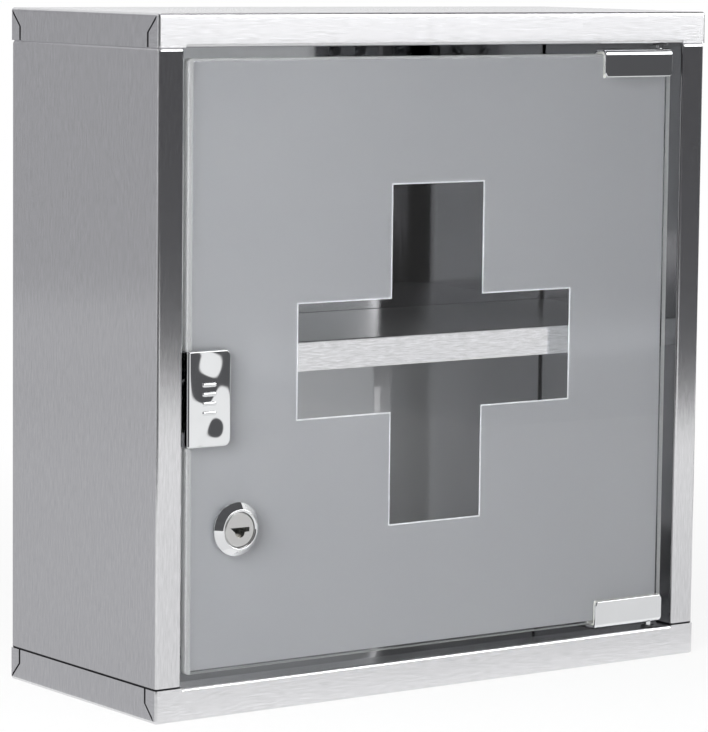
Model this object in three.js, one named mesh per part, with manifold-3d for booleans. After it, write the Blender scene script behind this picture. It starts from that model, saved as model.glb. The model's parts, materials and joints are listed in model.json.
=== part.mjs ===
// Glass door medical cabinet: a case folded from stainless sheet with one shelf, and an inset
// frosted glass door that turns on two pins, closed by a push latch and a cam lock.
// Millimetres. X runs right, Y runs back, Z runs up. The origin is the middle of the base.

import * as THREE from 'three';
import { mergeVertices } from 'three/addons/utils/BufferGeometryUtils.js';
import Module from 'manifold-3d';

const wasm = await Module();
wasm.setup();

// Clearances
const fit = 0.1; // between faces that touch
const slip = 0.2; // round what turns or slides

// Case
const caseWidth = 300;
const caseDepth = 120;
const caseHeight = 300;
const sheet = 0.8;
const bendRadius = 1.5; // outside of a bend in the sheet
const skirtHeight = 14.4; // turned edge of the caps
const capProud = 0.4; // the caps stand out from the side panels by this
const joggleTop = 1.6; // height over which a side panel steps in below the top cap
const joggleBottom = 0.6;
const stileWidth = 13;
const stileReturn = 10.5;
const rearReturn = 12;
const lipDepth = 12; // front lip of the caps
const tabWidth = 8.2; // corner tab of a cap, folded round onto the side
const seamGap = 0.5;

// Hanging slots in the back
const hangSpacing = 200;
const hangDrop = 60; // from the top of the case to the entry hole
const hangEntry = 9;
const hangNeck = 4.6;
const hangRise = 11;

// Shelf
const shelfTop = 157.6;
const shelfLip = 13;
const shelfRearFlange = 12;
const shelfGap = 2.1; // from the stile returns to the shelf lip
const supportLeg = 11;
const supportInset = 4; // from the shelf's lip and flange to the ends of a support

// Glass door
const latchSideGap = 2.6;
const hingeSideGap = 6.2;
const topGap = 4.6;
const bottomGap = 5.1;
const glassSetback = 1.4; // pane behind the face of the caps
const glassThickness = 4;
const glassCorner = 2;
const arris = 0.4; // ground edge of the pane
const filmThickness = 0.25;
const filmMargin = 1;
const crossSpan = 150;
const crossArm = 50;
const crossHeight = 150;

// Hinge clips and pivots
const clipLength = 39.8;
const clipInset = 0.8; // from the hinge edge of the pane
const clipCover = 10.6; // over the edge of the pane
const clipWall = 1.5;
const clipBend = 2.8; // outside of the clip's bends
const clipRound = 0.5; // softened ends
const linerThickness = 0.6;
const pivotInset = 5.6; // from the hinge edge of the pane
const pinDiameter = 3;
const pinEngage = 3.4; // of a pin in its bush, above the lip
const bushBody = 4.4;
const bushFlange = 6;
const bushFlangeThickness = 0.8;
const bushDepth = 4.8;
const clampSpacing = 16; // between the two clamp screws of a clip
const clampDiameter = 3;
const clampHead = 5.4;
const clampHeadHeight = 1.8;

// Screw heads
const slotShare = 1 / 7; // width of a driver slot, as a share of the head
const crownShare = 0.77; // width of a head's flat crown, as a share of the head

// Push plate
const plateWidth = 21.7;
const plateHeight = 41.1;
const plateFace = 1.8; // thickness in front of the pane
const plateEdge = 1; // thickness round the edge and behind
const plateBackWidth = 17.4;
const plateCorner = 3;
const plateBend = 1.2;
const plateRise = 6.15; // middle of the plate above the plunger
const tapeThickness = 0.6;
const tapeMargin = 1.5;

// Cam lock
const lockInset = 25.1; // from the free edge of the pane
const lockRise = 61; // from the bottom edge of the pane
const lockHole = 19;
const lockThread = 18.2;
const headBase = 23.3;
const headHeight = 4;
const headRim = 18.2;
const gasketThickness = 0.5;
const gasketInset = 0.5; // inside the edge of the head
const washerDiameter = 26;
const washerThickness = 1;
const nutAcross = 24;
const nutThickness = 3.6;
const plugDiameter = 15;
const plugTail = 13; // diameter of the plug behind its step
const plugRecess = 0.4;
const keyWidth = 9.7;
const keyThickness = 2;
const keyLobe = 5;
const keyDepth = 11;
const waferCount = 4;
const waferPitch = 2.1;
const waferFirst = 2.6; // behind the face of the plug
const waferThickness = 0.8;
const waferWidth = 12.2;
const waferHeight = 6.6;
const waferWall = 1.1;
const camClearance = 1.9; // behind the stile return
const camThickness = 2;
const camHub = 16;
const camArm = 12;
const camOverlap = 6.4; // behind the stile when locked
const camSquare = 7;
const camScrew = 4;
const camScrewHead = 7;
const camScrewHeadHeight = 2.6;
const camScrewDepth = 6;
const camWasherDiameter = 12;
const camWasherThickness = 1;

// Push latch
const latchDrop = 3.7; // below the shelf supports
const latchHeight = 19;
const latchLength = 35.4;
const latchTube = 15; // width of the housing round the plunger
const latchBase = 3;
const latchBaseMargin = 9; // screws from the ends of the base
const latchNeck = 14;
const latchRearWall = 2;
const bracketDepth = 4.6;
const bracketFoot = 6;
const bracketMargin = 1.6;
const latchScrew = 3;
const latchScrewHead = 6;
const latchScrewHeadHeight = 2.2;
const plungerInset = 11.1; // from the free edge of the push plate
const plungerDiameter = 10;
const plungerEdge = 0.6;
const plungerProud = 3.6; // in front of the housing
const plungerLength = 24;
const plungerRecess = 9; // depth of the spring pocket
const springDiameter = 7.6;
const springWire = 0.8;
const springTurns = 6;
const magnetDiameter = 6;
const magnetThickness = 3;

// Places that follow from these sizes
const halfWidth = caseWidth / 2;
const frontY = -caseDepth / 2;
const rearY = caseDepth / 2;
const panelX = halfWidth - capProud; // outer face of a side panel
const wallX = panelX - sheet; // inner face of its wall
const stileX = panelX - stileWidth; // inner edge of a stile
const stileEndY = frontY + capProud + stileReturn;
const panelBottom = bendRadius + fit;
const panelTop = caseHeight - panelBottom;
const backRearY = rearY - 2 * (sheet + fit);
const backFrontY = backRearY - sheet;
const shelfFrontY = stileEndY + shelfGap;
const shelfRearY = backFrontY - fit;
const supportTop = shelfTop - sheet - fit;

const glassLeft = latchSideGap - stileX;
const glassRight = stileX - hingeSideGap;
const glassBottom = skirtHeight + bottomGap;
const glassTop = caseHeight - skirtHeight - topGap;
const glassFrontY = frontY + glassSetback;
const glassRearY = glassFrontY + glassThickness;
const filmRearY = glassRearY + fit + filmThickness;

const linerSpace = linerThickness + 2 * fit;
const clipFrontY = glassFrontY - linerSpace - clipWall;
const clipRearY = filmRearY + linerSpace + clipWall;
const clipRight = glassRight - clipInset;
const clipLeft = clipRight - clipLength;
const pivotX = glassRight - pivotInset;
const pivotY = (glassFrontY + glassRearY) / 2;

const latchTop = Math.min(shelfTop - shelfLip, supportTop - supportLeg) - latchDrop;
const plungerZ = latchTop - latchHeight / 2;
const plateZ = plungerZ + plateRise;
const plateLeft = glassLeft - fit - plateEdge;
const plateFrontY = glassFrontY - tapeThickness - 2 * fit - plateFace;
const plateRearY = filmRearY + fit + plateEdge;
const plungerX = plateLeft + plungerInset;
const plungerFrontY = plateRearY + slip;
const latchFrontY = plungerFrontY + plungerProud;
const latchRearY = latchFrontY + latchLength;
const bracketFaceX = fit + bracketDepth - wallX;
const latchBaseX = bracketFaceX + fit + latchBase;

const lockX = glassLeft + lockInset;
const lockZ = glassBottom + lockRise;
const camReach = lockInset + latchSideGap + camOverlap;

const past = 1; // cutters run past what they cut by this

// Finishes
const brushedSteel = { color: 0xb9bcc0, roughness: 0.32, metalness: 1 };
const innerSteel = { color: 0xaeb2b6, roughness: 0.24, metalness: 1 };
const chrome = { color: 0xdadcde, roughness: 0.08, metalness: 1 };
const zincSteel = { color: 0xa7abb0, roughness: 0.4, metalness: 1 };
const satinSteel = { color: 0xc6c8ca, roughness: 0.38, metalness: 1 };
const brass = { color: 0xb4974f, roughness: 0.4, metalness: 1 };
const clearGlass = { color: 0xd9e4e2, roughness: 0.03, metalness: 0, transparent: true, opacity: 0.3 };
const frost = { color: 0xcfd6d8, roughness: 0.75, metalness: 0, transparent: true, opacity: 0.75 };
const blackPlastic = { color: 0x1b1c1e, roughness: 0.5, metalness: 0 };
const whitePlastic = { color: 0xe6e6e2, roughness: 0.45, metalness: 0 };
const softLiner = { color: 0xd8d8d2, roughness: 0.6, metalness: 0 };
const magnetBlack = { color: 0x2c2d30, roughness: 0.5, metalness: 0.4 };

// A named piece with a material of its own.
function piece(name, geometry, finish) {
  const mesh = new THREE.Mesh(geometry, new THREE.MeshStandardMaterial(finish));
  mesh.name = name;
  return mesh;
}

// The geometry with merged corners, no collapsed triangles and all faces turned outwards.
function closed(geometry) {
  const bare = geometry.clone();
  bare.deleteAttribute('normal');
  bare.deleteAttribute('uv');
  const merged = mergeVertices(bare, 1e-4);
  const at = (i) => new THREE.Vector3().fromBufferAttribute(merged.attributes.position, i);
  const faces = [];
  let volume = 0;
  for (let i = 0; i < merged.index.count; i += 3) {
    const face = [0, 1, 2].map((k) => merged.index.getX(i + k));
    if (new Set(face).size === 3) {
      const [a, b, c] = face.map(at);
      volume += a.dot(b.cross(c));
      faces.push(face);
    }
  }
  merged.setIndex(faces.flatMap((face) => (volume < 0 ? face.reverse() : face)));
  return merged;
}

function solid(geometry) {
  const mesh = closed(geometry);
  return new wasm.Manifold(new wasm.Mesh({
    numProp: 3,
    vertProperties: new Float32Array(mesh.attributes.position.array),
    triVerts: new Uint32Array(mesh.index.array),
  }));
}

function geometryOf(body) {
  const mesh = body.getMesh();
  const geometry = new THREE.BufferGeometry();
  geometry.setAttribute('position', new THREE.BufferAttribute(mesh.vertProperties, 3));
  geometry.setIndex(new THREE.BufferAttribute(mesh.triVerts, 1));
  return geometry;
}

// The first geometry with the others cut out of it.
function cut(geometry, ...tools) {
  return geometryOf(tools.reduce((body, tool) => body.subtract(solid(tool)), solid(geometry)));
}

function block(x0, x1, y0, y1, z0, z1) {
  const geometry = new THREE.BoxGeometry(x1 - x0, y1 - y0, z1 - z0);
  return geometry.translate((x0 + x1) / 2, (y0 + y1) / 2, (z0 + z1) / 2);
}

// A round bar from one end to the other, along x, y or z.
function bar(axis, diameter, from, to, segments = 16) {
  const geometry = new THREE.CylinderGeometry(diameter / 2, diameter / 2, to - from, segments);
  geometry.translate(0, (from + to) / 2, 0);
  if (axis === 'x') {
    geometry.rotateZ(-Math.PI / 2);
  }
  if (axis === 'z') {
    geometry.rotateX(Math.PI / 2);
  }
  return geometry;
}

// A turned piece about the Y axis, from [radius, y] pairs that start and end on the axis or meet.
function turned(pairs, segments = 24) {
  const points = pairs.map(([radius, y]) => new THREE.Vector2(radius, y));
  return closed(new THREE.LatheGeometry(points, segments));
}

// Extrusions of an outline drawn in the plane across the named axis.
const acrossX = new THREE.Matrix4().makeBasis(
  new THREE.Vector3(0, 1, 0),
  new THREE.Vector3(0, 0, 1),
  new THREE.Vector3(1, 0, 0),
);
const acrossY = new THREE.Matrix4().makeBasis(
  new THREE.Vector3(1, 0, 0),
  new THREE.Vector3(0, 0, 1),
  new THREE.Vector3(0, -1, 0),
);

function extrude(shape, depth, bevel, curveSegments) {
  const rounding = bevel > 0
    ? { bevelEnabled: true, bevelThickness: bevel, bevelSize: bevel, bevelOffset: -bevel, bevelSegments: 1 }
    : { bevelEnabled: false };
  const options = { depth: depth - 2 * bevel, curveSegments, ...rounding };
  return new THREE.ExtrudeGeometry(shape, options).translate(0, 0, bevel);
}

function extrudeX(shape, x0, x1, bevel = 0) {
  return extrude(shape, x1 - x0, bevel, 4).applyMatrix4(acrossX).translate(x0, 0, 0);
}

function extrudeY(shape, y0, y1, bevel = 0, curveSegments = 4) {
  return extrude(shape, y1 - y0, bevel, curveSegments).applyMatrix4(acrossY).translate(0, y1, 0);
}

function extrudeZ(shape, z0, z1) {
  return extrude(shape, z1 - z0, 0, 4).translate(0, 0, z0);
}

// Closed solid through level rings of equal point counts, with flat ends.
function loft(levels) {
  const flat = (ring) => ring.map((point) => new THREE.Vector2(point.x, point.y));
  const clockwise = THREE.ShapeUtils.isClockWise(flat(levels[0]));
  const rings = clockwise ? levels.map((ring) => ring.reverse()) : levels;
  const outline = flat(rings[0]);
  const count = outline.length;
  const index = [];
  for (let level = 0; level + 1 < rings.length; level += 1) {
    for (let i = 0; i < count; i += 1) {
      const a = level * count + i;
      const b = level * count + (i + 1) % count;
      index.push(a, b, b + count, a, b + count, a + count);
    }
  }
  const top = (rings.length - 1) * count;
  for (const [a, b, c] of THREE.ShapeUtils.triangulateShape(outline, [])) {
    index.push(c, b, a, top + a, top + b, top + c);
  }
  const geometry = new THREE.BufferGeometry();
  const numbers = rings.flat().flatMap((point) => point.toArray());
  geometry.setAttribute('position', new THREE.Float32BufferAttribute(numbers, 3));
  geometry.setIndex(index);
  return closed(geometry);
}

// Outline of a bent strip, from the corners of its middle line. Every corner is a round bend of
// the given outer radius.
function stripOutline(middle, thickness, outerRadius, steps = 3) {
  const points = middle.map(([x, y]) => new THREE.Vector2(x, y));
  const radius = outerRadius - thickness / 2;
  const left = [];
  const right = [];
  const put = (point, normal) => {
    left.push(point.clone().addScaledVector(normal, thickness / 2));
    right.push(point.clone().addScaledVector(normal, -thickness / 2));
  };
  const heading = (i) => points[i + 1].clone().sub(points[i]).normalize();
  const normalTo = (direction) => new THREE.Vector2(-direction.y, direction.x);
  const last = points.length - 1;
  put(points[0], normalTo(heading(0)));
  for (let i = 1; i < last; i += 1) {
    const before = heading(i - 1);
    const after = heading(i);
    const turn = Math.atan2(before.cross(after), before.dot(after));
    const side = Math.sign(turn);
    const reach = radius * Math.tan(Math.abs(turn) / 2);
    const start = points[i].clone().addScaledVector(before, -reach);
    const centre = start.addScaledVector(normalTo(before), side * radius);
    for (let k = 0; k <= steps; k += 1) {
      const normal = normalTo(before).rotateAround(new THREE.Vector2(), turn * k / steps);
      put(centre.clone().addScaledVector(normal, -side * radius), normal);
    }
  }
  put(points[last], normalTo(heading(last - 1)));
  return [...left, ...right.reverse()];
}

// Rectangle with all four corners rounded.
function roundedRectangle(x0, x1, y0, y1, radius) {
  const shape = new THREE.Shape();
  shape.absarc(x1 - radius, y0 + radius, radius, -Math.PI / 2, 0);
  shape.absarc(x1 - radius, y1 - radius, radius, 0, Math.PI / 2);
  shape.absarc(x0 + radius, y1 - radius, radius, Math.PI / 2, Math.PI);
  shape.absarc(x0 + radius, y0 + radius, radius, Math.PI, 1.5 * Math.PI);
  return shape;
}

function circlePath(x, y, diameter, facets = 32) {
  const corners = Array.from({ length: facets }, (_, k) => {
    const angle = 2 * Math.PI * k / facets;
    return new THREE.Vector2(x + diameter / 2 * Math.cos(angle), y + diameter / 2 * Math.sin(angle));
  });
  return new THREE.Path(corners);
}

// Level ring of a box with rounded upright corners.
function boxRing(width, depth, radius, z) {
  const outline = roundedRectangle(-width / 2, width / 2, -depth / 2, depth / 2, radius);
  return outline.getPoints(3).map((point) => new THREE.Vector3(point.x, point.y, z));
}

// Box with bent upper edges, standing on z = floor with its top at z = top.
function bentBox(width, depth, radius, floor, top) {
  const steps = 3;
  const rings = [boxRing(width, depth, radius, floor)];
  for (let k = 0; k <= steps; k += 1) {
    const angle = 0.5 * Math.PI * k / steps;
    const inset = radius * (1 - Math.cos(angle));
    const corner = Math.max(radius - inset, radius / 100);
    const z = top - radius + radius * Math.sin(angle);
    rings.push(boxRing(width - 2 * inset, depth - 2 * inset, corner, z));
  }
  return loft(rings);
}

// Cap of the case, drawn as the top one with its outer face at z = 0. The front and rear skirts
// have tabs that fold round the corners, and the front skirt turns in to a lip for the door pivot.
function capGeometry(bushX) {
  const skirtEdge = -skirtHeight;
  const innerWidth = caseWidth - 2 * sheet;
  const innerDepth = caseDepth - 2 * sheet;
  const inside = bentBox(innerWidth, innerDepth, bendRadius - sheet, skirtEdge - past, -sheet);
  const lipHalf = stileX - slip;
  const lipOverlap = 2 * bendRadius;
  const middleY = frontY + sheet / 2;
  const lip = stripOutline([
    [middleY, skirtEdge + 2 * lipOverlap],
    [middleY, skirtEdge + sheet / 2],
    [frontY + lipDepth, skirtEdge + sheet / 2],
  ], sheet, bendRadius);
  const edgeFront = frontY - past;
  const edgeRear = frontY + sheet + past;
  const edgeTop = skirtEdge + lipOverlap;
  const straightEdge = block(-lipHalf, lipHalf, edgeFront, edgeRear, skirtEdge - past, edgeTop);
  let body = solid(bentBox(caseWidth, caseDepth, bendRadius, skirtEdge, 0)).subtract(solid(inside));
  body = body.subtract(solid(straightEdge));
  body = body.add(solid(extrudeX(new THREE.Shape(lip), -lipHalf, lipHalf)));
  for (const sideX of [-1, 1]) {
    for (const sideY of [-1, 1]) {
      const seam = stripOutline([
        [sideY * (rearY - bendRadius), -bendRadius],
        [sideY * (rearY - tabWidth), -tabWidth],
        [sideY * (rearY - tabWidth), skirtEdge - past],
      ], seamGap, seamGap);
      const middleX = sideX * halfWidth;
      const tool = extrudeX(new THREE.Shape(seam), middleX - sheet - past, middleX + sheet + past);
      body = body.subtract(solid(tool));
    }
  }
  const bushHole = bar('z', bushBody + 2 * fit, skirtEdge - past, skirtEdge + bushDepth + past, 24);
  return geometryOf(body.subtract(solid(bushHole.translate(bushX, pivotY, 0))));
}

function makeCaps() {
  const top = piece('top_cap', capGeometry(pivotX), brushedSteel);
  top.position.z = caseHeight;
  const bottom = piece('bottom_cap', capGeometry(-pivotX), brushedSteel);
  bottom.rotation.y = Math.PI;
  return [top, bottom];
}

// Side panel: rear return, wall, front stile and inner return folded from one strip, whose ends
// step in to enter the caps. side is -1 for the left panel and 1 for the right one.
function makeSidePanel(name, side) {
  const tuck = sheet + fit - capProud;
  const ring = (inset, z) => {
    const x = panelX - inset - sheet / 2;
    const y = caseDepth / 2 - capProud - inset - sheet / 2;
    const stileMiddle = stileX + sheet / 2;
    const outline = stripOutline([
      [side * (x - rearReturn), y],
      [side * x, y],
      [side * x, -y],
      [side * stileMiddle, -y],
      [side * stileMiddle, stileEndY],
    ], sheet, bendRadius);
    return outline.map((point) => new THREE.Vector3(point.x, point.y, z));
  };
  const topEdge = caseHeight - skirtHeight;
  return piece(name, loft([
    ring(tuck, panelBottom),
    ring(tuck, skirtHeight - fit),
    ring(0, skirtHeight + joggleBottom),
    ring(0, topEdge - joggleTop),
    ring(tuck, topEdge + fit),
    ring(tuck, panelTop),
  ]), brushedSteel);
}

// Back panel with two keyhole slots: the screw head enters below and the shank slides up the neck.
function makeBackPanel() {
  const half = halfWidth - sheet - bendRadius - 2 * fit; // clear of the bends in the side panels
  const shape = new THREE.Shape([
    new THREE.Vector2(-half, panelBottom),
    new THREE.Vector2(half, panelBottom),
    new THREE.Vector2(half, panelTop),
    new THREE.Vector2(-half, panelTop),
  ]);
  const meet = Math.asin(hangNeck / hangEntry);
  const entryZ = caseHeight - hangDrop;
  for (const x of [-hangSpacing / 2, hangSpacing / 2]) {
    const slot = new THREE.Path();
    slot.absarc(x, entryZ, hangEntry / 2, Math.PI / 2 + meet, 2.5 * Math.PI - meet);
    slot.absarc(x, entryZ + hangRise, hangNeck / 2, 0, Math.PI);
    slot.closePath();
    shape.holes.push(slot);
  }
  return piece('back_panel', extrudeY(shape, backFrontY, backRearY), innerSteel);
}

function makeShelf() {
  const half = wallX - fit;
  const outline = stripOutline([
    [shelfFrontY + sheet / 2, shelfTop - shelfLip],
    [shelfFrontY + sheet / 2, shelfTop - sheet / 2],
    [shelfRearY - sheet / 2, shelfTop - sheet / 2],
    [shelfRearY - sheet / 2, shelfTop - shelfRearFlange],
  ], sheet, bendRadius);
  return piece('shelf', extrudeX(new THREE.Shape(outline), -half, half), brushedSteel);
}

function makeShelfSupport(name, side) {
  const x = wallX - fit - sheet / 2;
  const outline = stripOutline([
    [side * x, supportTop - supportLeg],
    [side * x, supportTop - sheet / 2],
    [side * (x - supportLeg), supportTop - sheet / 2],
  ], sheet, bendRadius);
  const shape = new THREE.Shape(outline);
  const geometry = extrudeY(shape, shelfFrontY + sheet + supportInset, shelfRearY - sheet - supportInset);
  return piece(name, geometry, innerSteel);
}

// Bush in a cap's lip for a door pin. out is 1 at the top and -1 at the bottom; the bottom bush
// is a cup whose floor carries the door.
function makeBush(name, lipZ, out, blind) {
  const bore = pinDiameter / 2 + slip;
  const flange = -fit - bushFlangeThickness;
  const floor = pinEngage + fit;
  const pairs = [[bore, flange], [bushFlange / 2, flange], [bushFlange / 2, -fit], [bushBody / 2, -fit]];
  pairs.push([bushBody / 2, bushDepth]);
  if (blind) {
    pairs.push([0, bushDepth], [0, floor], [bore, floor], [bore, flange]);
  } else {
    pairs.push([bore, bushDepth], [bore, flange]);
  }
  const geometry = turned(pairs.map(([radius, height]) => [radius, out * height]));
  const bush = piece(name, geometry.rotateX(Math.PI / 2), blackPlastic);
  bush.position.set(pivotX, pivotY, lipZ);
  return bush;
}

function makeCase() {
  const group = new THREE.Group();
  group.add(...makeCaps());
  group.add(makeSidePanel('left_side_panel', -1), makeSidePanel('right_side_panel', 1));
  group.add(makeBackPanel(), makeShelf());
  group.add(makeShelfSupport('left_shelf_support', -1), makeShelfSupport('right_shelf_support', 1));
  group.add(makeBush('top_pivot_bush', caseHeight - skirtHeight, 1, false));
  group.add(makeBush('bottom_pivot_bush', skirtHeight, -1, true));
  return group;
}

function makePane() {
  const shape = roundedRectangle(glassLeft, glassRight, glassBottom, glassTop, glassCorner);
  shape.holes.push(circlePath(lockX, lockZ, lockHole));
  return piece('glass_pane', extrudeY(shape, glassFrontY, glassRearY, arris), clearGlass);
}

// Frosted film on the back of the pane, left clear in the shape of a cross.
function makeFilm() {
  const left = glassLeft + filmMargin;
  const right = glassRight - filmMargin;
  const shape = roundedRectangle(left, right, glassBottom + filmMargin, glassTop - filmMargin, glassCorner);
  shape.holes.push(circlePath(lockX, lockZ, lockHole));
  const long = crossSpan / 2;
  const short = crossArm / 2;
  const corners = [
    [long, -short], [long, short], [short, short], [short, long], [-short, long], [-short, short],
    [-long, short], [-long, -short], [-short, -short], [-short, -long], [short, -long], [short, -short],
  ];
  shape.holes.push(new THREE.Path(corners.map(([x, z]) => new THREE.Vector2(x, crossHeight + z))));
  return piece('frosted_film', extrudeY(shape, glassRearY + fit, filmRearY), frost);
}

// U section round a horizontal edge of the pane, open towards the glass. out is 1 at the top edge
// and -1 at the bottom edge, and front and rear are the outer faces of the section.
function edgeSection(edgeZ, out, front, rear, web, thickness, outerRadius) {
  const half = thickness / 2;
  const open = edgeZ - out * clipCover;
  const middle = edgeZ + out * (web - half);
  return new THREE.Shape(stripOutline([
    [front + half, open],
    [front + half, middle],
    [rear - half, middle],
    [rear - half, open],
  ], thickness, outerRadius));
}

function clampPlaces(edgeZ, out) {
  const x = clipLeft + clipLength / 2;
  const z = edgeZ - out * clipCover / 2;
  return [['left', x - clampSpacing / 2, z], ['right', x + clampSpacing / 2, z]];
}

// Hinge clip, its liner, its pivot pin and its two clamp screws, at the top or bottom edge.
function makeHingeSet(end, edgeZ, lipZ, out) {
  const linerFront = glassFrontY - fit - linerThickness;
  const linerRear = filmRearY + fit + linerThickness;
  const linerWeb = fit + linerThickness;
  const linerBend = Math.max(1.5 * linerThickness, clipBend - clipWall - fit);
  const liner = edgeSection(edgeZ, out, linerFront, linerRear, linerWeb, linerThickness, linerBend);
  const section = edgeSection(edgeZ, out, clipFrontY, clipRearY, linerSpace + clipWall, clipWall, clipBend);
  const webInner = edgeZ + out * linerSpace;
  const pinEnd = lipZ + out * pinEngage;
  const pinLow = Math.min(webInner, pinEnd);
  const pinHigh = Math.max(webInner, pinEnd);
  const pinHole = bar('z', pinDiameter + 2 * fit, pinLow - past, pinHigh, 20).translate(pivotX, pivotY, 0);
  const clampBore = clampDiameter + 2 * fit;
  const clampHoles = clampPlaces(edgeZ, out).map(([, x, z]) => {
    return bar('y', clampBore, clipRearY - clipWall - fit, clipRearY + past).translate(x, 0, z);
  });
  const clip = cut(extrudeX(section, clipLeft, clipRight, clipRound), pinHole, ...clampHoles);
  const pin = bar('z', pinDiameter, pinLow, pinHigh, 20).translate(pivotX, pivotY, 0);
  const screws = clampPlaces(edgeZ, out).map(([place, x, z]) => {
    const screw = piece(`${end}_clip_screw_${place}`, clampScrewGeometry(), zincSteel);
    screw.position.set(x, clipRearY, z);
    return screw;
  });
  return [
    piece(`${end}_hinge_clip`, clip, chrome),
    piece(`${end}_clip_pad`, extrudeX(liner, clipLeft + clipRound, clipRight - clipRound), softLiner),
    piece(`${end}_pivot_pin`, pin, chrome),
    ...screws,
  ];
}

// Slotted screw whose head seats at y = 0 and whose tip presses on the liner in front of it.
function clampScrewGeometry() {
  return slottedScrew(clampDiameter, fit - clipWall, fit, clampHead, clampHeadHeight);
}

// Slotted screw along Y: its tip, the seat of its head, and the head's diameter and height.
function slottedScrew(diameter, tip, seat, head, headHeight) {
  const crown = seat + headHeight;
  const body = turned([
    [0, tip],
    [diameter / 2, tip],
    [diameter / 2, seat],
    [head / 2, seat],
    [head / 2, crown - headHeight / 3],
    [crownShare * head / 2, crown],
    [0, crown],
  ], 16);
  const slot = slotShare * head / 2;
  return cut(body, block(-head, head, crown - headHeight / 2, crown + past, -slot, slot));
}

// Push plate: a face in front of the pane, turned round its free edge to a strike leg behind.
function makePushPlate() {
  const faceInner = plateFrontY + plateFace;
  const legInner = plateRearY - plateEdge;
  const faceRight = plateLeft + plateWidth;
  const legRight = plateLeft + plateBackWidth;
  const innerX = plateLeft + plateEdge;
  const section = new THREE.Shape();
  section.moveTo(faceRight, faceInner);
  section.lineTo(innerX, faceInner);
  section.lineTo(innerX, legInner);
  section.lineTo(legRight, legInner);
  section.lineTo(legRight, plateRearY);
  section.absarc(plateLeft + plateBend, plateRearY - plateBend, plateBend, Math.PI / 2, Math.PI);
  section.absarc(plateLeft + plateBend, plateFrontY + plateBend, plateBend, Math.PI, 1.5 * Math.PI);
  section.absarc(faceRight - plateBend, plateFrontY + plateBend, plateBend, -Math.PI / 2, 0);
  const low = plateZ - plateHeight / 2;
  const high = plateZ + plateHeight / 2;
  const outline = roundedRectangle(plateLeft - plateCorner, faceRight, low, high, plateCorner);
  const folded = solid(extrudeZ(section, low, high));
  const cornered = folded.intersect(solid(extrudeY(outline, plateFrontY - past, plateRearY + past)));
  return piece('push_plate', geometryOf(cornered), chrome);
}

function makePlateTape() {
  const outline = roundedRectangle(
    glassLeft + tapeMargin, plateLeft + plateWidth - tapeMargin,
    plateZ - plateHeight / 2 + tapeMargin, plateZ + plateHeight / 2 - tapeMargin, tapeMargin,
  );
  const tapeRearY = glassFrontY - fit;
  return piece('push_plate_pad', extrudeY(outline, tapeRearY - tapeThickness, tapeRearY), softLiner);
}

function makeDoor() {
  const group = new THREE.Group();
  group.add(makePane(), makeFilm());
  group.add(...makeHingeSet('top', glassTop, caseHeight - skirtHeight, 1));
  group.add(...makeHingeSet('bottom', glassBottom, skirtHeight, -1));
  group.add(makePushPlate(), makePlateTape());
  return group;
}

// Cam lock, drawn round the Y axis with y = 0 on the front face of the pane.
const headBack = -gasketThickness - 2 * fit;
const headFront = -headHeight;
const washerFront = filmRearY - glassFrontY + fit;
const nutFront = washerFront + washerThickness + fit;
const camFront = stileEndY + camClearance - glassFrontY;
const barrelRear = camFront - slip;
const camRear = camFront + camThickness;
const plugFront = headFront + plugRecess;
const plugStep = plugFront + keyDepth; // the plug narrows here, against a shoulder in the barrel

function makeLockBody() {
  const bore = plugDiameter / 2 + slip;
  const tailBore = plugTail / 2 + slip;
  const rim = (headRim / 2 - bore) / 3;
  const barrel = turned([
    [bore, headFront + rim],
    [bore + rim, headFront],
    [headRim / 2 - rim / 2, headFront],
    [headRim / 2, headFront + rim / 2],
    [headBase / 2, headBack - gasketThickness],
    [headBase / 2, headBack],
    [lockThread / 2, headBack],
    [lockThread / 2, barrelRear],
    [tailBore, barrelRear],
    [tailBore, plugStep + slip],
    [bore, plugStep + slip],
    [bore, headFront + rim],
  ], 40);
  const ring = (inner, outer, front, back, segments) => turned([
    [inner / 2, front], [outer / 2, front], [outer / 2, back], [inner / 2, back], [inner / 2, front],
  ], segments);
  const inner = lockThread + 2 * slip;
  const hexagon = new THREE.Shape(circlePath(0, 0, 2 * nutAcross / Math.sqrt(3), 6).getPoints());
  hexagon.holes.push(circlePath(0, 0, inner));
  const gasket = ring(inner, headBase - 2 * gasketInset, headBack + fit, -fit, 24);
  const washer = ring(inner, washerDiameter, washerFront, washerFront + washerThickness, 24);
  return [
    piece('lock_barrel', barrel, chrome),
    piece('lock_gasket', gasket, blackPlastic),
    piece('lock_washer', washer, zincSteel),
    piece('lock_nut', extrudeY(hexagon, nutFront, nutFront + nutThickness), zincSteel),
  ];
}

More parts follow.
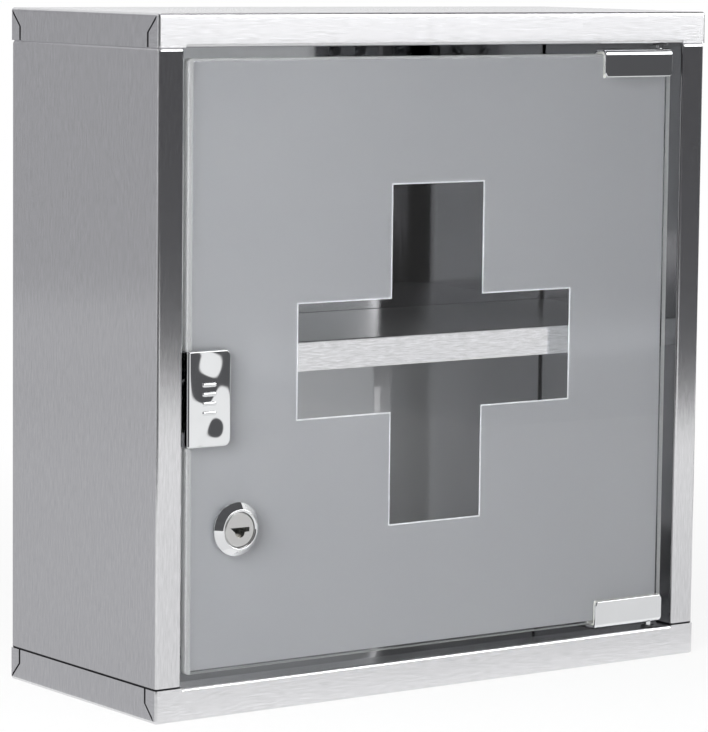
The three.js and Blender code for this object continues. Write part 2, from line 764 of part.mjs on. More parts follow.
// Plug with its keyhole, slots across it for the wafers, and a square tail for the cam.
function plugGeometry() {
  const edge = plugRecess;
  const plugEnd = camFront - fit;
  const body = turned([
    [0, plugFront],
    [plugDiameter / 2 - edge, plugFront],
    [plugDiameter / 2, plugFront + edge],
    [plugDiameter / 2, plugStep],
    [plugTail / 2, plugStep],
    [plugTail / 2, plugEnd],
    [0, plugEnd],
  ], 32);
  const half = camSquare / 2;
  const tail = block(-half, half, plugEnd - past, camRear - fit, -half, half);
  const keyhole = new THREE.Shape();
  keyhole.moveTo(-keyWidth / 2, -keyThickness / 2);
  keyhole.absarc(0, -keyThickness / 2, keyLobe / 2, Math.PI, 2 * Math.PI);
  keyhole.lineTo(keyWidth / 2, -keyThickness / 2);
  keyhole.lineTo(keyWidth / 2, keyThickness / 2);
  keyhole.lineTo(-keyWidth / 2, keyThickness / 2);
  const tools = [
    extrudeY(keyhole, plugFront - past, plugFront + keyDepth),
    bar('y', camScrew + 2 * fit, camRear - camScrewDepth - fit, camRear + past),
  ];
  for (let k = 0; k < waferCount; k += 1) {
    const y = plugFront + waferFirst + k * waferPitch;
    const z = waferHeight / 2 + fit;
    tools.push(block(-plugDiameter, plugDiameter, y - fit, y + waferThickness + fit, -z, z));
  }
  const plug = solid(body).add(solid(tail));
  return geometryOf(tools.reduce((rest, tool) => rest.subtract(solid(tool)), plug));
}

// Wafers: sliding plates with a window for the key.
function makeWafers() {
  return Array.from({ length: waferCount }, (_, k) => {
    const x = waferWidth / 2;
    const z = waferHeight / 2;
    const shape = roundedRectangle(-x, x, -z, z, waferWall / 2);
    const windowX = x - waferWall;
    const windowZ = z - waferWall;
    const keyWindow = roundedRectangle(-windowX, windowX, -windowZ, windowZ, waferWall / 2);
    shape.holes.push(new THREE.Path(keyWindow.getPoints(2)));
    const y = plugFront + waferFirst + k * waferPitch;
    return piece(`lock_wafer_${k + 1}`, extrudeY(shape, y, y + waferThickness, 0, 2), brass);
  });
}

// Cam: a plate that hangs down from the plug and turns behind the stile to lock.
function makeCam() {
  const hub = camHub / 2;
  const arm = camArm / 2;
  const meet = Math.asin(arm / hub);
  const shape = new THREE.Shape();
  shape.absarc(0, 0, hub, -Math.PI / 2 + meet, 1.5 * Math.PI - meet);
  shape.absarc(0, arm - camReach, arm, Math.PI, 2 * Math.PI);
  shape.closePath();
  const half = camSquare / 2 + fit;
  shape.holes.push(new THREE.Path([[-half, -half], [half, -half], [half, half], [-half, half]]
    .map(([x, z]) => new THREE.Vector2(x, z))));
  return piece('lock_cam', extrudeY(shape, camFront, camRear), zincSteel);
}

function makeCamFastening() {
  const front = camRear + fit;
  const back = front + camWasherThickness;
  const bore = camScrew / 2 + slip;
  const rim = camWasherDiameter / 2;
  const washer = turned([[bore, front], [rim, front], [rim, back], [bore, back], [bore, front]], 20);
  const tip = camRear - camScrewDepth;
  const screw = slottedScrew(camScrew, tip, back + fit, camScrewHead, camScrewHeadHeight);
  return [piece('cam_washer', washer, zincSteel), piece('cam_screw', screw, zincSteel)];
}

function makeLock() {
  const group = new THREE.Group();
  group.position.set(lockX, glassFrontY, lockZ);
  group.add(...makeLockBody());
  group.add(piece('lock_plug', plugGeometry(), satinSteel), ...makeWafers());
  group.add(makeCam(), ...makeCamFastening());
  return group;
}

// Hat-shaped bracket on the left wall that carries the push latch.
function makeLatchBracket(screwYs) {
  const wall = fit - wallX;
  const foot = wall + sheet / 2;
  const face = bracketFaceX - sheet / 2;
  const front = latchFrontY - bracketMargin;
  const rear = latchRearY + bracketMargin;
  const outline = stripOutline([
    [foot, front - bracketFoot],
    [foot, front],
    [face, front],
    [face, rear],
    [foot, rear],
    [foot, rear + bracketFoot],
  ], sheet, bendRadius);
  const hat = extrudeZ(new THREE.Shape(outline), latchTop - latchHeight, latchTop);
  const holes = screwYs.map((y) => {
    return bar('x', latchScrew + 2 * fit, face - sheet, face + sheet).translate(0, y, plungerZ);
  });
  return piece('latch_bracket', cut(hat, ...holes), innerSteel);
}

// Latch housing: a screw base, a neck and the tube that the plunger slides in, open to the front.
function makeLatchHousing(screwYs) {
  const middleY = (latchFrontY + latchRearY) / 2;
  const tubeLeft = plungerX - latchTube / 2;
  const tubeRight = plungerX + latchTube / 2;
  const baseLeft = bracketFaceX + fit;
  const neckFront = middleY - latchNeck / 2;
  const neckRear = middleY + latchNeck / 2;
  const outline = [
    [baseLeft, latchFrontY], [latchBaseX, latchFrontY], [latchBaseX, neckFront], [tubeLeft, neckFront],
    [tubeLeft, latchFrontY], [tubeRight, latchFrontY], [tubeRight, latchRearY], [tubeLeft, latchRearY],
    [tubeLeft, neckRear], [latchBaseX, neckRear], [latchBaseX, latchRearY], [baseLeft, latchRearY],
  ].map(([x, y]) => new THREE.Vector2(x, y));
  const blank = extrudeZ(new THREE.Shape(outline), latchTop - latchHeight, latchTop);
  const bore = bar('y', plungerDiameter + 2 * slip, latchFrontY - past, latchRearY - latchRearWall, 24);
  const holes = screwYs.map((y) => {
    return bar('x', latchScrew + 2 * fit, baseLeft - past, latchBaseX + past).translate(0, y, plungerZ);
  });
  return piece('latch_housing', cut(blank, bore.translate(plungerX, 0, plungerZ), ...holes), whitePlastic);
}

function makeLatchScrew(name, y) {
  const tip = bracketFaceX - sheet - latchScrew / 2;
  const body = slottedScrew(latchScrew, tip, latchBaseX + fit, latchScrewHead, latchScrewHeadHeight);
  const screw = piece(name, body.rotateZ(-Math.PI / 2), zincSteel);
  screw.position.set(0, y, plungerZ);
  return screw;
}

// The spring's middle line: a helix along Y from one end to the other.
class Helix extends THREE.Curve {
  constructor(radius, turns, from, to) {
    super();
    Object.assign(this, { radius, turns, from, to });
  }

  getPoint(t) {
    const angle = 2 * Math.PI * this.turns * t;
    const y = this.from + (this.to - this.from) * t;
    return new THREE.Vector3(this.radius * Math.cos(angle), y, this.radius * Math.sin(angle));
  }
}

function makeSpring() {
  const inset = springWire / 2 + fit;
  const from = plungerFrontY + plungerLength - plungerRecess + inset;
  const to = latchRearY - latchRearWall - inset;
  const radius = (springDiameter - springWire) / 2;
  const wire = new THREE.Shape(circlePath(0, 0, springWire, 5).getPoints());
  const path = new Helix(radius, springTurns, from, to);
  const along = { steps: 8 * springTurns, bevelEnabled: false, extrudePath: path };
  const geometry = new THREE.ExtrudeGeometry(wire, along);
  const spring = piece('latch_spring', closed(geometry), zincSteel);
  spring.position.set(plungerX, 0, plungerZ);
  return spring;
}

function makePlunger() {
  const rear = plungerFrontY + plungerLength;
  const edge = plungerEdge;
  const body = turned([
    [0, plungerFrontY],
    [plungerDiameter / 2 - edge, plungerFrontY],
    [plungerDiameter / 2, plungerFrontY + edge],
    [plungerDiameter / 2, rear],
    [0, rear],
  ]);
  const pocketFloor = plungerFrontY + magnetThickness + fit;
  const magnetPocket = bar('y', magnetDiameter + 2 * fit, plungerFrontY - past, pocketFloor, 20);
  const springPocket = bar('y', springDiameter + 2 * slip, rear - plungerRecess, rear + past, 20);
  const plunger = piece('latch_plunger', cut(body, magnetPocket, springPocket), whitePlastic);
  const magnet = bar('y', magnetDiameter, plungerFrontY, plungerFrontY + magnetThickness, 20);
  const pieces = [plunger, piece('latch_magnet', magnet, magnetBlack)];
  pieces.forEach((one) => one.position.set(plungerX, 0, plungerZ));
  return pieces;
}

function makeLatch() {
  const group = new THREE.Group();
  const screwYs = [latchFrontY + latchBaseMargin / 2, latchRearY - latchBaseMargin / 2];
  group.add(makeLatchBracket(screwYs), makeLatchHousing(screwYs));
  group.add(makeLatchScrew('latch_screw_front', screwYs[0]), makeLatchScrew('latch_screw_rear', screwYs[1]));
  group.add(makeSpring(), ...makePlunger());
  return group;
}

const cabinet = new THREE.Group();
cabinet.add(makeCase(), makeDoor(), makeLock(), makeLatch());

export default cabinet;
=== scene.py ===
"""Glass door medical cabinet: finishes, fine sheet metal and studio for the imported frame.

All lengths below are in millimetres unless a comment says metres; MM turns them into metres.
The case is folded stainless sheet, so its new pieces are middle surfaces of a sheet, given as a
path across the folds carried along the sheet, and a Solidify modifier gives them their thickness.
The UV map of such a piece is its flat pattern in metres, with the grain of the sheet along U.
"""

import json
import math

import bmesh
import bpy
import numpy as np
from mathutils import Matrix, Vector


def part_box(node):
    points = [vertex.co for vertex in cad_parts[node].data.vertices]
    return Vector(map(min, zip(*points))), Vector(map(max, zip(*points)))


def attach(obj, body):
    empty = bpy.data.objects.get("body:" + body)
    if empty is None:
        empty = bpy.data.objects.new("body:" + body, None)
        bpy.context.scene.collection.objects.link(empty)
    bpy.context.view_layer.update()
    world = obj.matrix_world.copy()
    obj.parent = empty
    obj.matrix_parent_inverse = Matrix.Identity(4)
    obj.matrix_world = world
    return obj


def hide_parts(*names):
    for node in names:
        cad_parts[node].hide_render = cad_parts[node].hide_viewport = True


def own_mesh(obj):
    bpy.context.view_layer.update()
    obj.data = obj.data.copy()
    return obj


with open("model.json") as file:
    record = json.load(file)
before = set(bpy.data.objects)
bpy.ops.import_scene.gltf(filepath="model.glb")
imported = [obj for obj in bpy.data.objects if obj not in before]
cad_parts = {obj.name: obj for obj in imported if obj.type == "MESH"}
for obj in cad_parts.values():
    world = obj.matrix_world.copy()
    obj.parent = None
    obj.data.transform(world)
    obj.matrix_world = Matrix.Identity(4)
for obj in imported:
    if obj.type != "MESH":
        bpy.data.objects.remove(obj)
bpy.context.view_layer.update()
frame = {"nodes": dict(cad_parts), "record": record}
nodes = frame["nodes"]

MM = 0.001


def box_mm(node):
    """Lowest and highest corner of a CAD node in millimetres, as two arrays."""
    low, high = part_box(node)
    return np.array(low) / MM, np.array(high) / MM


# Sizes that the frame gives

CASE_HALF_WIDTH, CASE_HALF_DEPTH, CASE_HEIGHT = box_mm("top_cap")[1]
CASE_MIDDLE = (0, 0, CASE_HEIGHT / 2)
SKIRT = box_mm("bottom_cap")[1][2]
BACK_REAR = box_mm("back_panel")[1][1]
PANEL_LOW, PANEL_HIGH = box_mm("right_side_panel")
SHELF_LOW, SHELF_HIGH = box_mm("shelf")
PIN_LOW, PIN_HIGH = box_mm("top_pivot_pin")
PIVOT_X, PIVOT_Y = (PIN_LOW[:2] + PIN_HIGH[:2]) / 2
PANE_LOW, PANE_HIGH = box_mm("glass_pane")
LOCK_LOW, LOCK_HIGH = box_mm("lock_barrel")
LOCK_X, LOCK_Z = (LOCK_LOW[0] + LOCK_HIGH[0]) / 2, (LOCK_LOW[2] + LOCK_HIGH[2]) / 2
PLATE_LOW, PLATE_HIGH = box_mm("push_plate")

# Sheet metal sizes

SHEET = 0.8
BEND = 1.5
MIDDLE_BEND = BEND - SHEET / 2
TAB_WIDTH = 8.2
SEAM = 1.3
LIP_DEPTH = 12.0
LIP_CLEARANCE = 0.2
LIP_HALF = PANEL_LOW[0] - LIP_CLEARANCE
CAP_PROUD = CASE_HALF_WIDTH - PANEL_HIGH[0]
TUCK = 0.5
JOGGLE_TOP = 1.6
JOGGLE_BOTTOM = 0.8
STEP_OVERLAP = 0.1
STILE_RETURN = 10.5
REAR_RETURN = 12.0
SHELF_REAR_FLANGE = 12.0
CUT_EDGE = 0.14
SHARP_ANGLE = 40
BEND_STEPS = 8
JOGGLE_STEPS = 9
PANEL_LEVELS = 8

# Meshes

FLAT_PATTERN = "flat"
SHEET_WELD = 0.005
RING_WELD = 0.002


def spread(low, high, count):
    """count evenly spaced numbers from low to high."""
    return np.linspace(low, high, count)


def bent_path(corners, radius, steps=BEND_STEPS):
    """Points along straight legs through the corners, each corner a round bend of that radius.

    A bend starts radius * tan(turn / 2) before its corner, and its points are the bend's centre
    plus the radius turned evenly from the first leg's normal to the second's.
    Returns the points and the length along the path up to each of them.
    """
    corners = np.asarray(corners, float)
    points = [corners[:1]]
    for before, corner, after in zip(corners[:-2], corners[1:-1], corners[2:]):
        first = (corner - before) / np.linalg.norm(corner - before)
        second = (after - corner) / np.linalg.norm(after - corner)
        turn = math.atan2(first[0] * second[1] - first[1] * second[0], first @ second)
        side = math.copysign(1, turn)
        normal = np.array([-first[1], first[0]]) * side
        start = corner - first * radius * math.tan(abs(turn) / 2)
        angles = spread(0, turn, steps + 1)
        cos, sin = np.cos(angles), np.sin(angles)
        turned = np.stack([normal[0] * cos - normal[1] * sin, normal[0] * sin + normal[1] * cos], -1)
        points.append(start + normal * radius - turned * radius)
    points.append(corners[-1:])
    points = np.concatenate(points)
    steps_along = np.linalg.norm(np.diff(points, axis=0), axis=1)
    return points, np.concatenate([[0], np.cumsum(steps_along)])


def grid_quads(rows, columns, start):
    """Corner indices of the quads of a grid of points, row by row."""
    index = start + np.arange(rows * columns).reshape(rows, columns)
    return np.stack([index[:-1, :-1], index[1:, :-1], index[1:, 1:], index[:-1, 1:]], -1).reshape(-1, 4)


def sheet_mesh(name, patches, inside=None):
    """One mesh from grid patches, each (points in mm, flat pattern in mm), welded where they meet.

    inside is a point in mm on the reverse side of an open sheet, which turns its faces away from it.
    """
    points, flats, quads, start = [], [], [], 0
    for place, flat in patches:
        rows, columns = place.shape[:2]
        points.append(place.reshape(-1, 3))
        flats.append(flat.reshape(-1, 2))
        quads.append(grid_quads(rows, columns, start))
        start += rows * columns
    points, flats, quads = np.concatenate(points), np.concatenate(flats), np.concatenate(quads)
    mesh = bpy.data.meshes.new(name)
    mesh.from_pydata((points * MM).tolist(), [], quads.tolist())
    pattern = mesh.uv_layers.new(name=FLAT_PATTERN)
    pattern.data.foreach_set("uv", (flats[quads.reshape(-1)] * MM).ravel())
    work = bmesh.new()
    work.from_mesh(mesh)
    bmesh.ops.remove_doubles(work, verts=work.verts, dist=SHEET_WELD * MM)
    bmesh.ops.dissolve_degenerate(work, edges=work.edges, dist=SHEET_WELD * MM)
    bmesh.ops.recalc_face_normals(work, faces=work.faces)
    if inside is not None:
        centre = Vector(inside) * MM
        outward = sum(f.normal.dot(f.calc_center_median() - centre) * f.calc_area() for f in work.faces)
        if outward < 0:
            bmesh.ops.reverse_faces(work, faces=work.faces)
    work.to_mesh(mesh)
    work.free()
    return mesh


def ring_mesh(name, rings):
    """One closed mesh from rings of points in mm, rows by points, with flat ends."""
    rows, count = rings.shape[:2]
    index = np.arange(rows * count).reshape(rows, count)
    after = np.roll(index, -1, axis=1)
    quads = np.stack([index[:-1], after[:-1], after[1:], index[1:]], -1).reshape(-1, 4)
    faces = quads.tolist() + [index[0][::-1].tolist(), index[-1].tolist()]
    mesh = bpy.data.meshes.new(name)
    mesh.from_pydata((rings.reshape(-1, 3) * MM).tolist(), [], faces)
    work = bmesh.new()
    work.from_mesh(mesh)
    bmesh.ops.remove_doubles(work, verts=work.verts, dist=RING_WELD * MM)
    bmesh.ops.recalc_face_normals(work, faces=work.faces)
    work.to_mesh(mesh)
    work.free()
    return mesh


def turned_mesh(name, profile, centre, axis, segments):
    """Surface of revolution: each profile point (radius, height) goes round the axis in a circle.

    centre is a point on the axis in mm and axis is "y" or "z"; heights are along that axis.
    A closed profile repeats its first point.
    """
    profile = np.asarray(profile, float)
    angles = spread(0, 2 * math.pi, segments + 1)
    radius, height = profile[:, :1], np.repeat(profile[:, 1:], segments + 1, 1)
    across, up = radius * np.cos(angles), radius * np.sin(angles)
    order = (across, height, -up) if axis == "y" else (across, up, height)
    place = np.stack(order, -1) + np.asarray(centre, float)
    around = np.broadcast_to(angles, height.shape) * radius.max()
    run = np.repeat(profile.cumsum(0)[:, 1:], segments + 1, 1)
    return sheet_mesh(name, [(place, np.stack([around, run], -1))])


def place_piece(mesh, material, body, replaced=(), thickness=0.0, reverse=None,
                bevel=0.0, bevel_steps=2):
    """The finished object: optional thickness and rounded cut edges, riding on its body.

    reverse is the finish of the inner side of a sheet.
    """
    piece = bpy.data.objects.new(mesh.name, mesh)
    bpy.context.scene.collection.objects.link(piece)
    mesh.materials.append(material)
    mesh.polygons.foreach_set("use_smooth", np.ones(len(mesh.polygons), bool))
    if thickness:
        wall = piece.modifiers.new("thickness", "SOLIDIFY")
        wall.thickness = thickness * MM
        wall.offset = 0
        if reverse:
            mesh.materials.append(reverse)
            wall.material_offset = 1
    if bevel:
        edge = piece.modifiers.new("edges", "BEVEL")
        edge.width = bevel * MM
        edge.segments = bevel_steps
        edge.limit_method = "ANGLE"
        edge.angle_limit = math.radians(SHARP_ANGLE)
    shading = piece.modifiers.new("shading", "WEIGHTED_NORMAL")
    shading.keep_sharp = True
    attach(piece, body)
    if replaced:
        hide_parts(*replaced)
    return piece


# Shader building

def bare_material(name):
    """A material with its node tree, which holds nothing but the output."""
    material = bpy.data.materials.new(name)
    material.use_nodes = True
    tree = material.node_tree
    tree.nodes.clear()
    tree.nodes.new("ShaderNodeOutputMaterial")
    return material, tree


def show(tree, surface):
    """Makes a shader output the surface of the material."""
    output = next(node for node in tree.nodes if node.type == "OUTPUT_MATERIAL")
    tree.links.new(surface, output.inputs["Surface"])


def new_material(name):
    """A material with its node tree and its Principled shader, which is its surface."""
    material, tree = bare_material(name)
    shader = tree.nodes.new("ShaderNodeBsdfPrincipled")
    show(tree, shader.outputs["BSDF"])
    return material, tree, shader


def noise(tree, source, scale, stretch=(1, 1, 1), detail=3.0, roughness=0.55):
    """Noise on the source coordinates, which are first multiplied by stretch."""
    mapping = tree.nodes.new("ShaderNodeMapping")
    mapping.inputs["Scale"].default_value = stretch
    tree.links.new(source, mapping.inputs["Vector"])
    texture = tree.nodes.new("ShaderNodeTexNoise")
    texture.inputs["Scale"].default_value = scale
    texture.inputs["Detail"].default_value = detail
    texture.inputs["Roughness"].default_value = roughness
    tree.links.new(mapping.outputs["Vector"], texture.inputs["Vector"])
    return texture.outputs["Fac"]


def ramp(tree, value, low, high, start=0.3, end=0.7):
    """Colour from low to high as the value goes from start to end."""
    node = tree.nodes.new("ShaderNodeValToRGB")
    first, last = node.color_ramp.elements
    first.position, first.color = start, (*low, 1)
    last.position, last.color = end, (*high, 1)
    tree.links.new(value, node.inputs["Fac"])
    return node.outputs["Color"]


def span(tree, value, low, high, start=0.3, end=0.7):
    """Number from low to high as the value goes from start to end."""
    node = tree.nodes.new("ShaderNodeMapRange")
    for socket, number in (("From Min", start), ("From Max", end), ("To Min", low), ("To Max", high)):
        node.inputs[socket].default_value = number
    tree.links.new(value, node.inputs["Value"])
    return node.outputs["Result"]


def blend_values(tree, first, second, share):
    """first * (1 - share) + second * share, for two varying numbers."""
    node = tree.nodes.new("ShaderNodeMix")
    node.inputs["Factor"].default_value = share
    tree.links.new(first, node.inputs["A"])
    tree.links.new(second, node.inputs["B"])
    return node.outputs["Result"]


def bump(tree, shader, height, distance_mm, strength=1.0):
    """Fine relief from a height between 0 and 1."""
    node = tree.nodes.new("ShaderNodeBump")
    node.inputs["Distance"].default_value = distance_mm * MM
    node.inputs["Strength"].default_value = strength
    tree.links.new(height, node.inputs["Height"])
    tree.links.new(node.outputs["Normal"], shader.inputs["Normal"])


def coordinates(tree):
    """The place of a point in its object, in metres."""
    return tree.nodes.new("ShaderNodeTexCoord").outputs["Object"]


def scaled(tone, share):
    """A tone times a share."""
    return tuple(channel * share for channel in tone)


def worked(tree, operation, value, number=0.0):
    """A varying value and a fixed number put through a Math node."""
    node = tree.nodes.new("ShaderNodeMath")
    node.operation = operation
    tree.links.new(value, node.inputs[0])
    node.inputs[1].default_value = number
    return node.outputs[0]


def combined(tree, operation, first, second):
    """Two varying values put through a Math node."""
    node = tree.nodes.new("ShaderNodeMath")
    node.operation = operation
    tree.links.new(first, node.inputs[0])
    tree.links.new(second, node.inputs[1])
    return node.outputs[0]


def larger(tree, first, second):
    """The larger of two varying values."""
    return combined(tree, "MAXIMUM", first, second)


def times(tree, first, second):
    """The product of two varying values."""
    return combined(tree, "MULTIPLY", first, second)


def beyond(tree, place, axis, edge_mm, comparison):
    """1 where the place along an axis is past the edge and 0 elsewhere."""
    sides = tree.nodes.new("ShaderNodeSeparateXYZ")
    tree.links.new(place, sides.inputs["Vector"])
    return worked(tree, comparison, sides.outputs[axis], edge_mm * MM)


def distance_from(tree, place, centre):
    """How far the place is from a centre, in metres."""
    node = tree.nodes.new("ShaderNodeVectorMath")
    node.operation = "DISTANCE"
    node.inputs[1].default_value = centre
    tree.links.new(place, node.inputs[0])
    return node.outputs["Value"]


def mix_shaders(tree, share, first, second):
    """first * (1 - share) + second * share; the share is a number or a varying value."""
    mix = tree.nodes.new("ShaderNodeMixShader")
    if isinstance(share, float):
        mix.inputs["Fac"].default_value = share
    else:
        tree.links.new(share, mix.inputs["Fac"])
    tree.links.new(first, mix.inputs[1])
    tree.links.new(second, mix.inputs[2])
    return mix.outputs["Shader"]


def shadow_clear(tree, surface, tint):
    """The surface, through which lamps still reach what lies behind it, weakened by the tint."""
    clear = tree.nodes.new("ShaderNodeBsdfTransparent")
    clear.inputs["Color"].default_value = (*tint, 1)
    path = tree.nodes.new("ShaderNodeLightPath")
    return mix_shaders(tree, path.outputs["Is Shadow Ray"], surface, clear.outputs["BSDF"])


# Finishes

GRAIN_FINE = (170, 1500, 1)
GRAIN_COARSE = (90, 900, 1)
GRAIN_RELIEF = 0.0022
GRAIN_ALONG_U = 0.25
SATIN_DULLNESS = 0.36
# Painted light: below the shelf the inner steel gets a paler, rougher layer that stands for the floor's
# light in the lower compartment
PAINTED_LIGHT_ROUGHNESS = 0.55
PAINTED_LIGHT_SHARE = 0.5
PAINTED_LIGHT_TONES = (0.92, 0.92, 0.93), (0.97, 0.97, 0.98)


def brushed_steel(name, tone, roughness, streak):
    """Brushed stainless: long fine streaks along U of the flat pattern, and a gloss stretched across them.

    The streaks take the tone down and up by the share streak, and handling marks vary the gloss.
    """
    material, tree, shader = new_material(name)
    pattern = tree.nodes.new("ShaderNodeUVMap")
    pattern.uv_map = FLAT_PATTERN
    tangent = tree.nodes.new("ShaderNodeTangent")
    tangent.direction_type = "UV_MAP"
    tangent.uv_map = FLAT_PATTERN
    tree.links.new(tangent.outputs["Tangent"], shader.inputs["Tangent"])
    source = pattern.outputs["UV"]
    hair = noise(tree, source, 1, GRAIN_FINE, detail=3.0, roughness=0.65)
    band = noise(tree, source, 1, GRAIN_COARSE, detail=3.0, roughness=0.6)
    marks = noise(tree, source, 9, detail=4.0, roughness=0.6)
    streaks = blend_values(tree, hair, band, 0.3)
    colour = ramp(tree, streaks, scaled(tone, 1 - streak), scaled(tone, 1 + streak), 0.38, 0.62)
    tree.links.new(colour, shader.inputs["Base Color"])
    gloss = span(tree, blend_values(tree, hair, marks, 0.4), roughness * 0.93, roughness * 1.08)
    tree.links.new(gloss, shader.inputs["Roughness"])
    shader.inputs["Metallic"].default_value = 1
    shader.inputs["Anisotropic"].default_value = 1
    shader.inputs["Anisotropic Rotation"].default_value = GRAIN_ALONG_U
    bump(tree, shader, hair, GRAIN_RELIEF)
    return material


def polished_metal(name, tone, roughness, wear=0.5, satin_behind=None, painted_light_below=None):
    """Bright plated metal with faint wiping marks.

    satin_behind is a place along Y in mm past which the metal has the dull finish of a plain sheet.
    The last argument is a height in mm under which, in front of that place, a paler and rougher layer is
    mixed in: painted light for the brighter lower compartment.
    """
    material, tree, shader = new_material(name)
    place = coordinates(tree)
    wipe = noise(tree, place, 160, (1, 1, 0.3), detail=4.0, roughness=0.65)
    smear = noise(tree, place, 45, detail=3.0, roughness=0.5)
    mixed = blend_values(tree, wipe, smear, 0.5)
    tree.links.new(ramp(tree, smear, scaled(tone, 0.95), tone), shader.inputs["Base Color"])
    dullness = span(tree, mixed, roughness * (1 - 0.5 * wear), roughness * (1 + wear))
    if satin_behind:
        behind = beyond(tree, place, "Y", satin_behind, "GREATER_THAN")
        dullness = larger(tree, dullness, worked(tree, "MULTIPLY", behind, SATIN_DULLNESS))
    tree.links.new(dullness, shader.inputs["Roughness"])
    shader.inputs["Metallic"].default_value = 1
    bump(tree, shader, smear, distance_mm=0.01, strength=0.4)
    if painted_light_below:
        # Painted light: a paler, rougher layer that brightens the lower compartment
        painted_light = tree.nodes.new("ShaderNodeBsdfPrincipled")
        tree.links.new(ramp(tree, mixed, *PAINTED_LIGHT_TONES), painted_light.inputs["Base Color"])
        painted_light.inputs["Roughness"].default_value = PAINTED_LIGHT_ROUGHNESS
        painted_light.inputs["Metallic"].default_value = 1
        below = beyond(tree, place, "Z", painted_light_below, "LESS_THAN")
        inside = beyond(tree, place, "Y", satin_behind, "LESS_THAN")
        share = worked(tree, "MULTIPLY", times(tree, below, inside), PAINTED_LIGHT_SHARE)
        show(tree, mix_shaders(tree, share, shader.outputs["BSDF"], painted_light.outputs["BSDF"]))
    return material


def moulded(name, tone, roughness, grain_mm=0.25):
    """Moulded plastic or rubber: fine spark texture and a faint mottle in colour and gloss."""
    material, tree, shader = new_material(name)
    place = coordinates(tree)
    grain = noise(tree, place, 1 / (grain_mm * MM), detail=3.0, roughness=0.6)
    mottle = noise(tree, place, 120, detail=3.0, roughness=0.5)
    tree.links.new(ramp(tree, mottle, scaled(tone, 0.88), tone), shader.inputs["Base Color"])
    tree.links.new(span(tree, mottle, roughness * 0.85, roughness * 1.15), shader.inputs["Roughness"])
    bump(tree, shader, grain, distance_mm=0.02, strength=0.5)
    return material


PANE_TINTS = (0.984, 0.986, 0.989), (0.989, 0.991, 0.993)
PANE_IOR = 1.29
PANE_SHADOW = (0.93, 0.945, 0.945)
GROUND_TINTS = (0.44, 0.447, 0.452), (0.52, 0.527, 0.532)
GROUND_BACKSCATTER = 0.4
GROUND_EDGES = (
    ("X", PANE_LOW[0] + 2.4, "LESS_THAN"), ("X", PANE_HIGH[0] - 0.3, "GREATER_THAN"),
    ("Z", PANE_LOW[2] + 0.2, "LESS_THAN"), ("Z", PANE_HIGH[2] - 1.1, "GREATER_THAN"),
)


def float_glass(name):
    """Clear float glass with a trace of cleaning smears, whose cut edges are ground to a pale matt.

    The ground share is 1 where a point lies past one of GROUND_EDGES, told by its place in the pane,
    and 0 on the faces.
    """
    material, tree, shader = new_material(name)
    place = coordinates(tree)
    smear = noise(tree, place, 14, (1, 1, 2), detail=4.0, roughness=0.6)
    tree.links.new(ramp(tree, smear, *PANE_TINTS), shader.inputs["Base Color"])
    tree.links.new(span(tree, smear, 0.0, 0.012, 0.45, 0.75), shader.inputs["Roughness"])
    shader.inputs["Transmission Weight"].default_value = 1
    shader.inputs["IOR"].default_value = PANE_IOR
    ground = None
    for axis, edge_mm, comparison in GROUND_EDGES:
        past = beyond(tree, place, axis, edge_mm, comparison)
        ground = larger(tree, ground, past) if ground else past
    matt = tree.nodes.new("ShaderNodeBsdfTranslucent")
    pale = tree.nodes.new("ShaderNodeBsdfDiffuse")
    speck = noise(tree, place, 1500, detail=3.0, roughness=0.6)
    tint = ramp(tree, speck, *GROUND_TINTS)
    tree.links.new(tint, matt.inputs["Color"])
    tree.links.new(tint, pale.inputs["Color"])
    edge = mix_shaders(tree, GROUND_BACKSCATTER, matt.outputs["BSDF"], pale.outputs["BSDF"])
    pane = mix_shaders(tree, ground, shader.outputs["BSDF"], edge)
    show(tree, shadow_clear(tree, pane, PANE_SHADOW))
    return material


CROSS_SPAN = 150.0
CROSS_ARM = 50.0
CROSS_HIGHLIGHT_WIDTH = 0.6
# Painted highlight: on a thin rim round the cross the frosting adds diffuse and translucent scattering
# together, brighter than the light allows
RIM_HIGHLIGHT_TINTS = (0.50, 0.50, 0.51), (0.58, 0.58, 0.59)
FROST_TONES = (0.445, 0.444, 0.464), (0.495, 0.493, 0.509)
FROST_TINTS = (0.94, 0.945, 0.955), (0.975, 0.978, 0.985)
FROST_THROUGH = 0.62
FROST_SHADOW = (0.78, 0.785, 0.79)


def cross_highlight_rim(tree, place):
    """1 on the thin rim round the clear cross, which carries the frosting's painted highlight, and 0
    elsewhere.

    With x and z from the middle of the cross, the distance to its outline is the smaller of
    max(|x| - span / 2, |z| - arm / 2) and max(|x| - arm / 2, |z| - span / 2).
    """
    sides = tree.nodes.new("ShaderNodeSeparateXYZ")
    tree.links.new(place, sides.inputs["Vector"])
    x = worked(tree, "ABSOLUTE", sides.outputs["X"])
    z = worked(tree, "ABSOLUTE", worked(tree, "SUBTRACT", sides.outputs["Z"], CASE_MIDDLE[2] * MM))
    bars = []
    for wide, high in ((CROSS_SPAN, CROSS_ARM), (CROSS_ARM, CROSS_SPAN)):
        past_side = worked(tree, "SUBTRACT", x, wide / 2 * MM)
        past_end = worked(tree, "SUBTRACT", z, high / 2 * MM)
        bars.append(larger(tree, past_side, past_end))
    return worked(tree, "LESS_THAN", combined(tree, "MINIMUM", *bars), CROSS_HIGHLIGHT_WIDTH * MM)


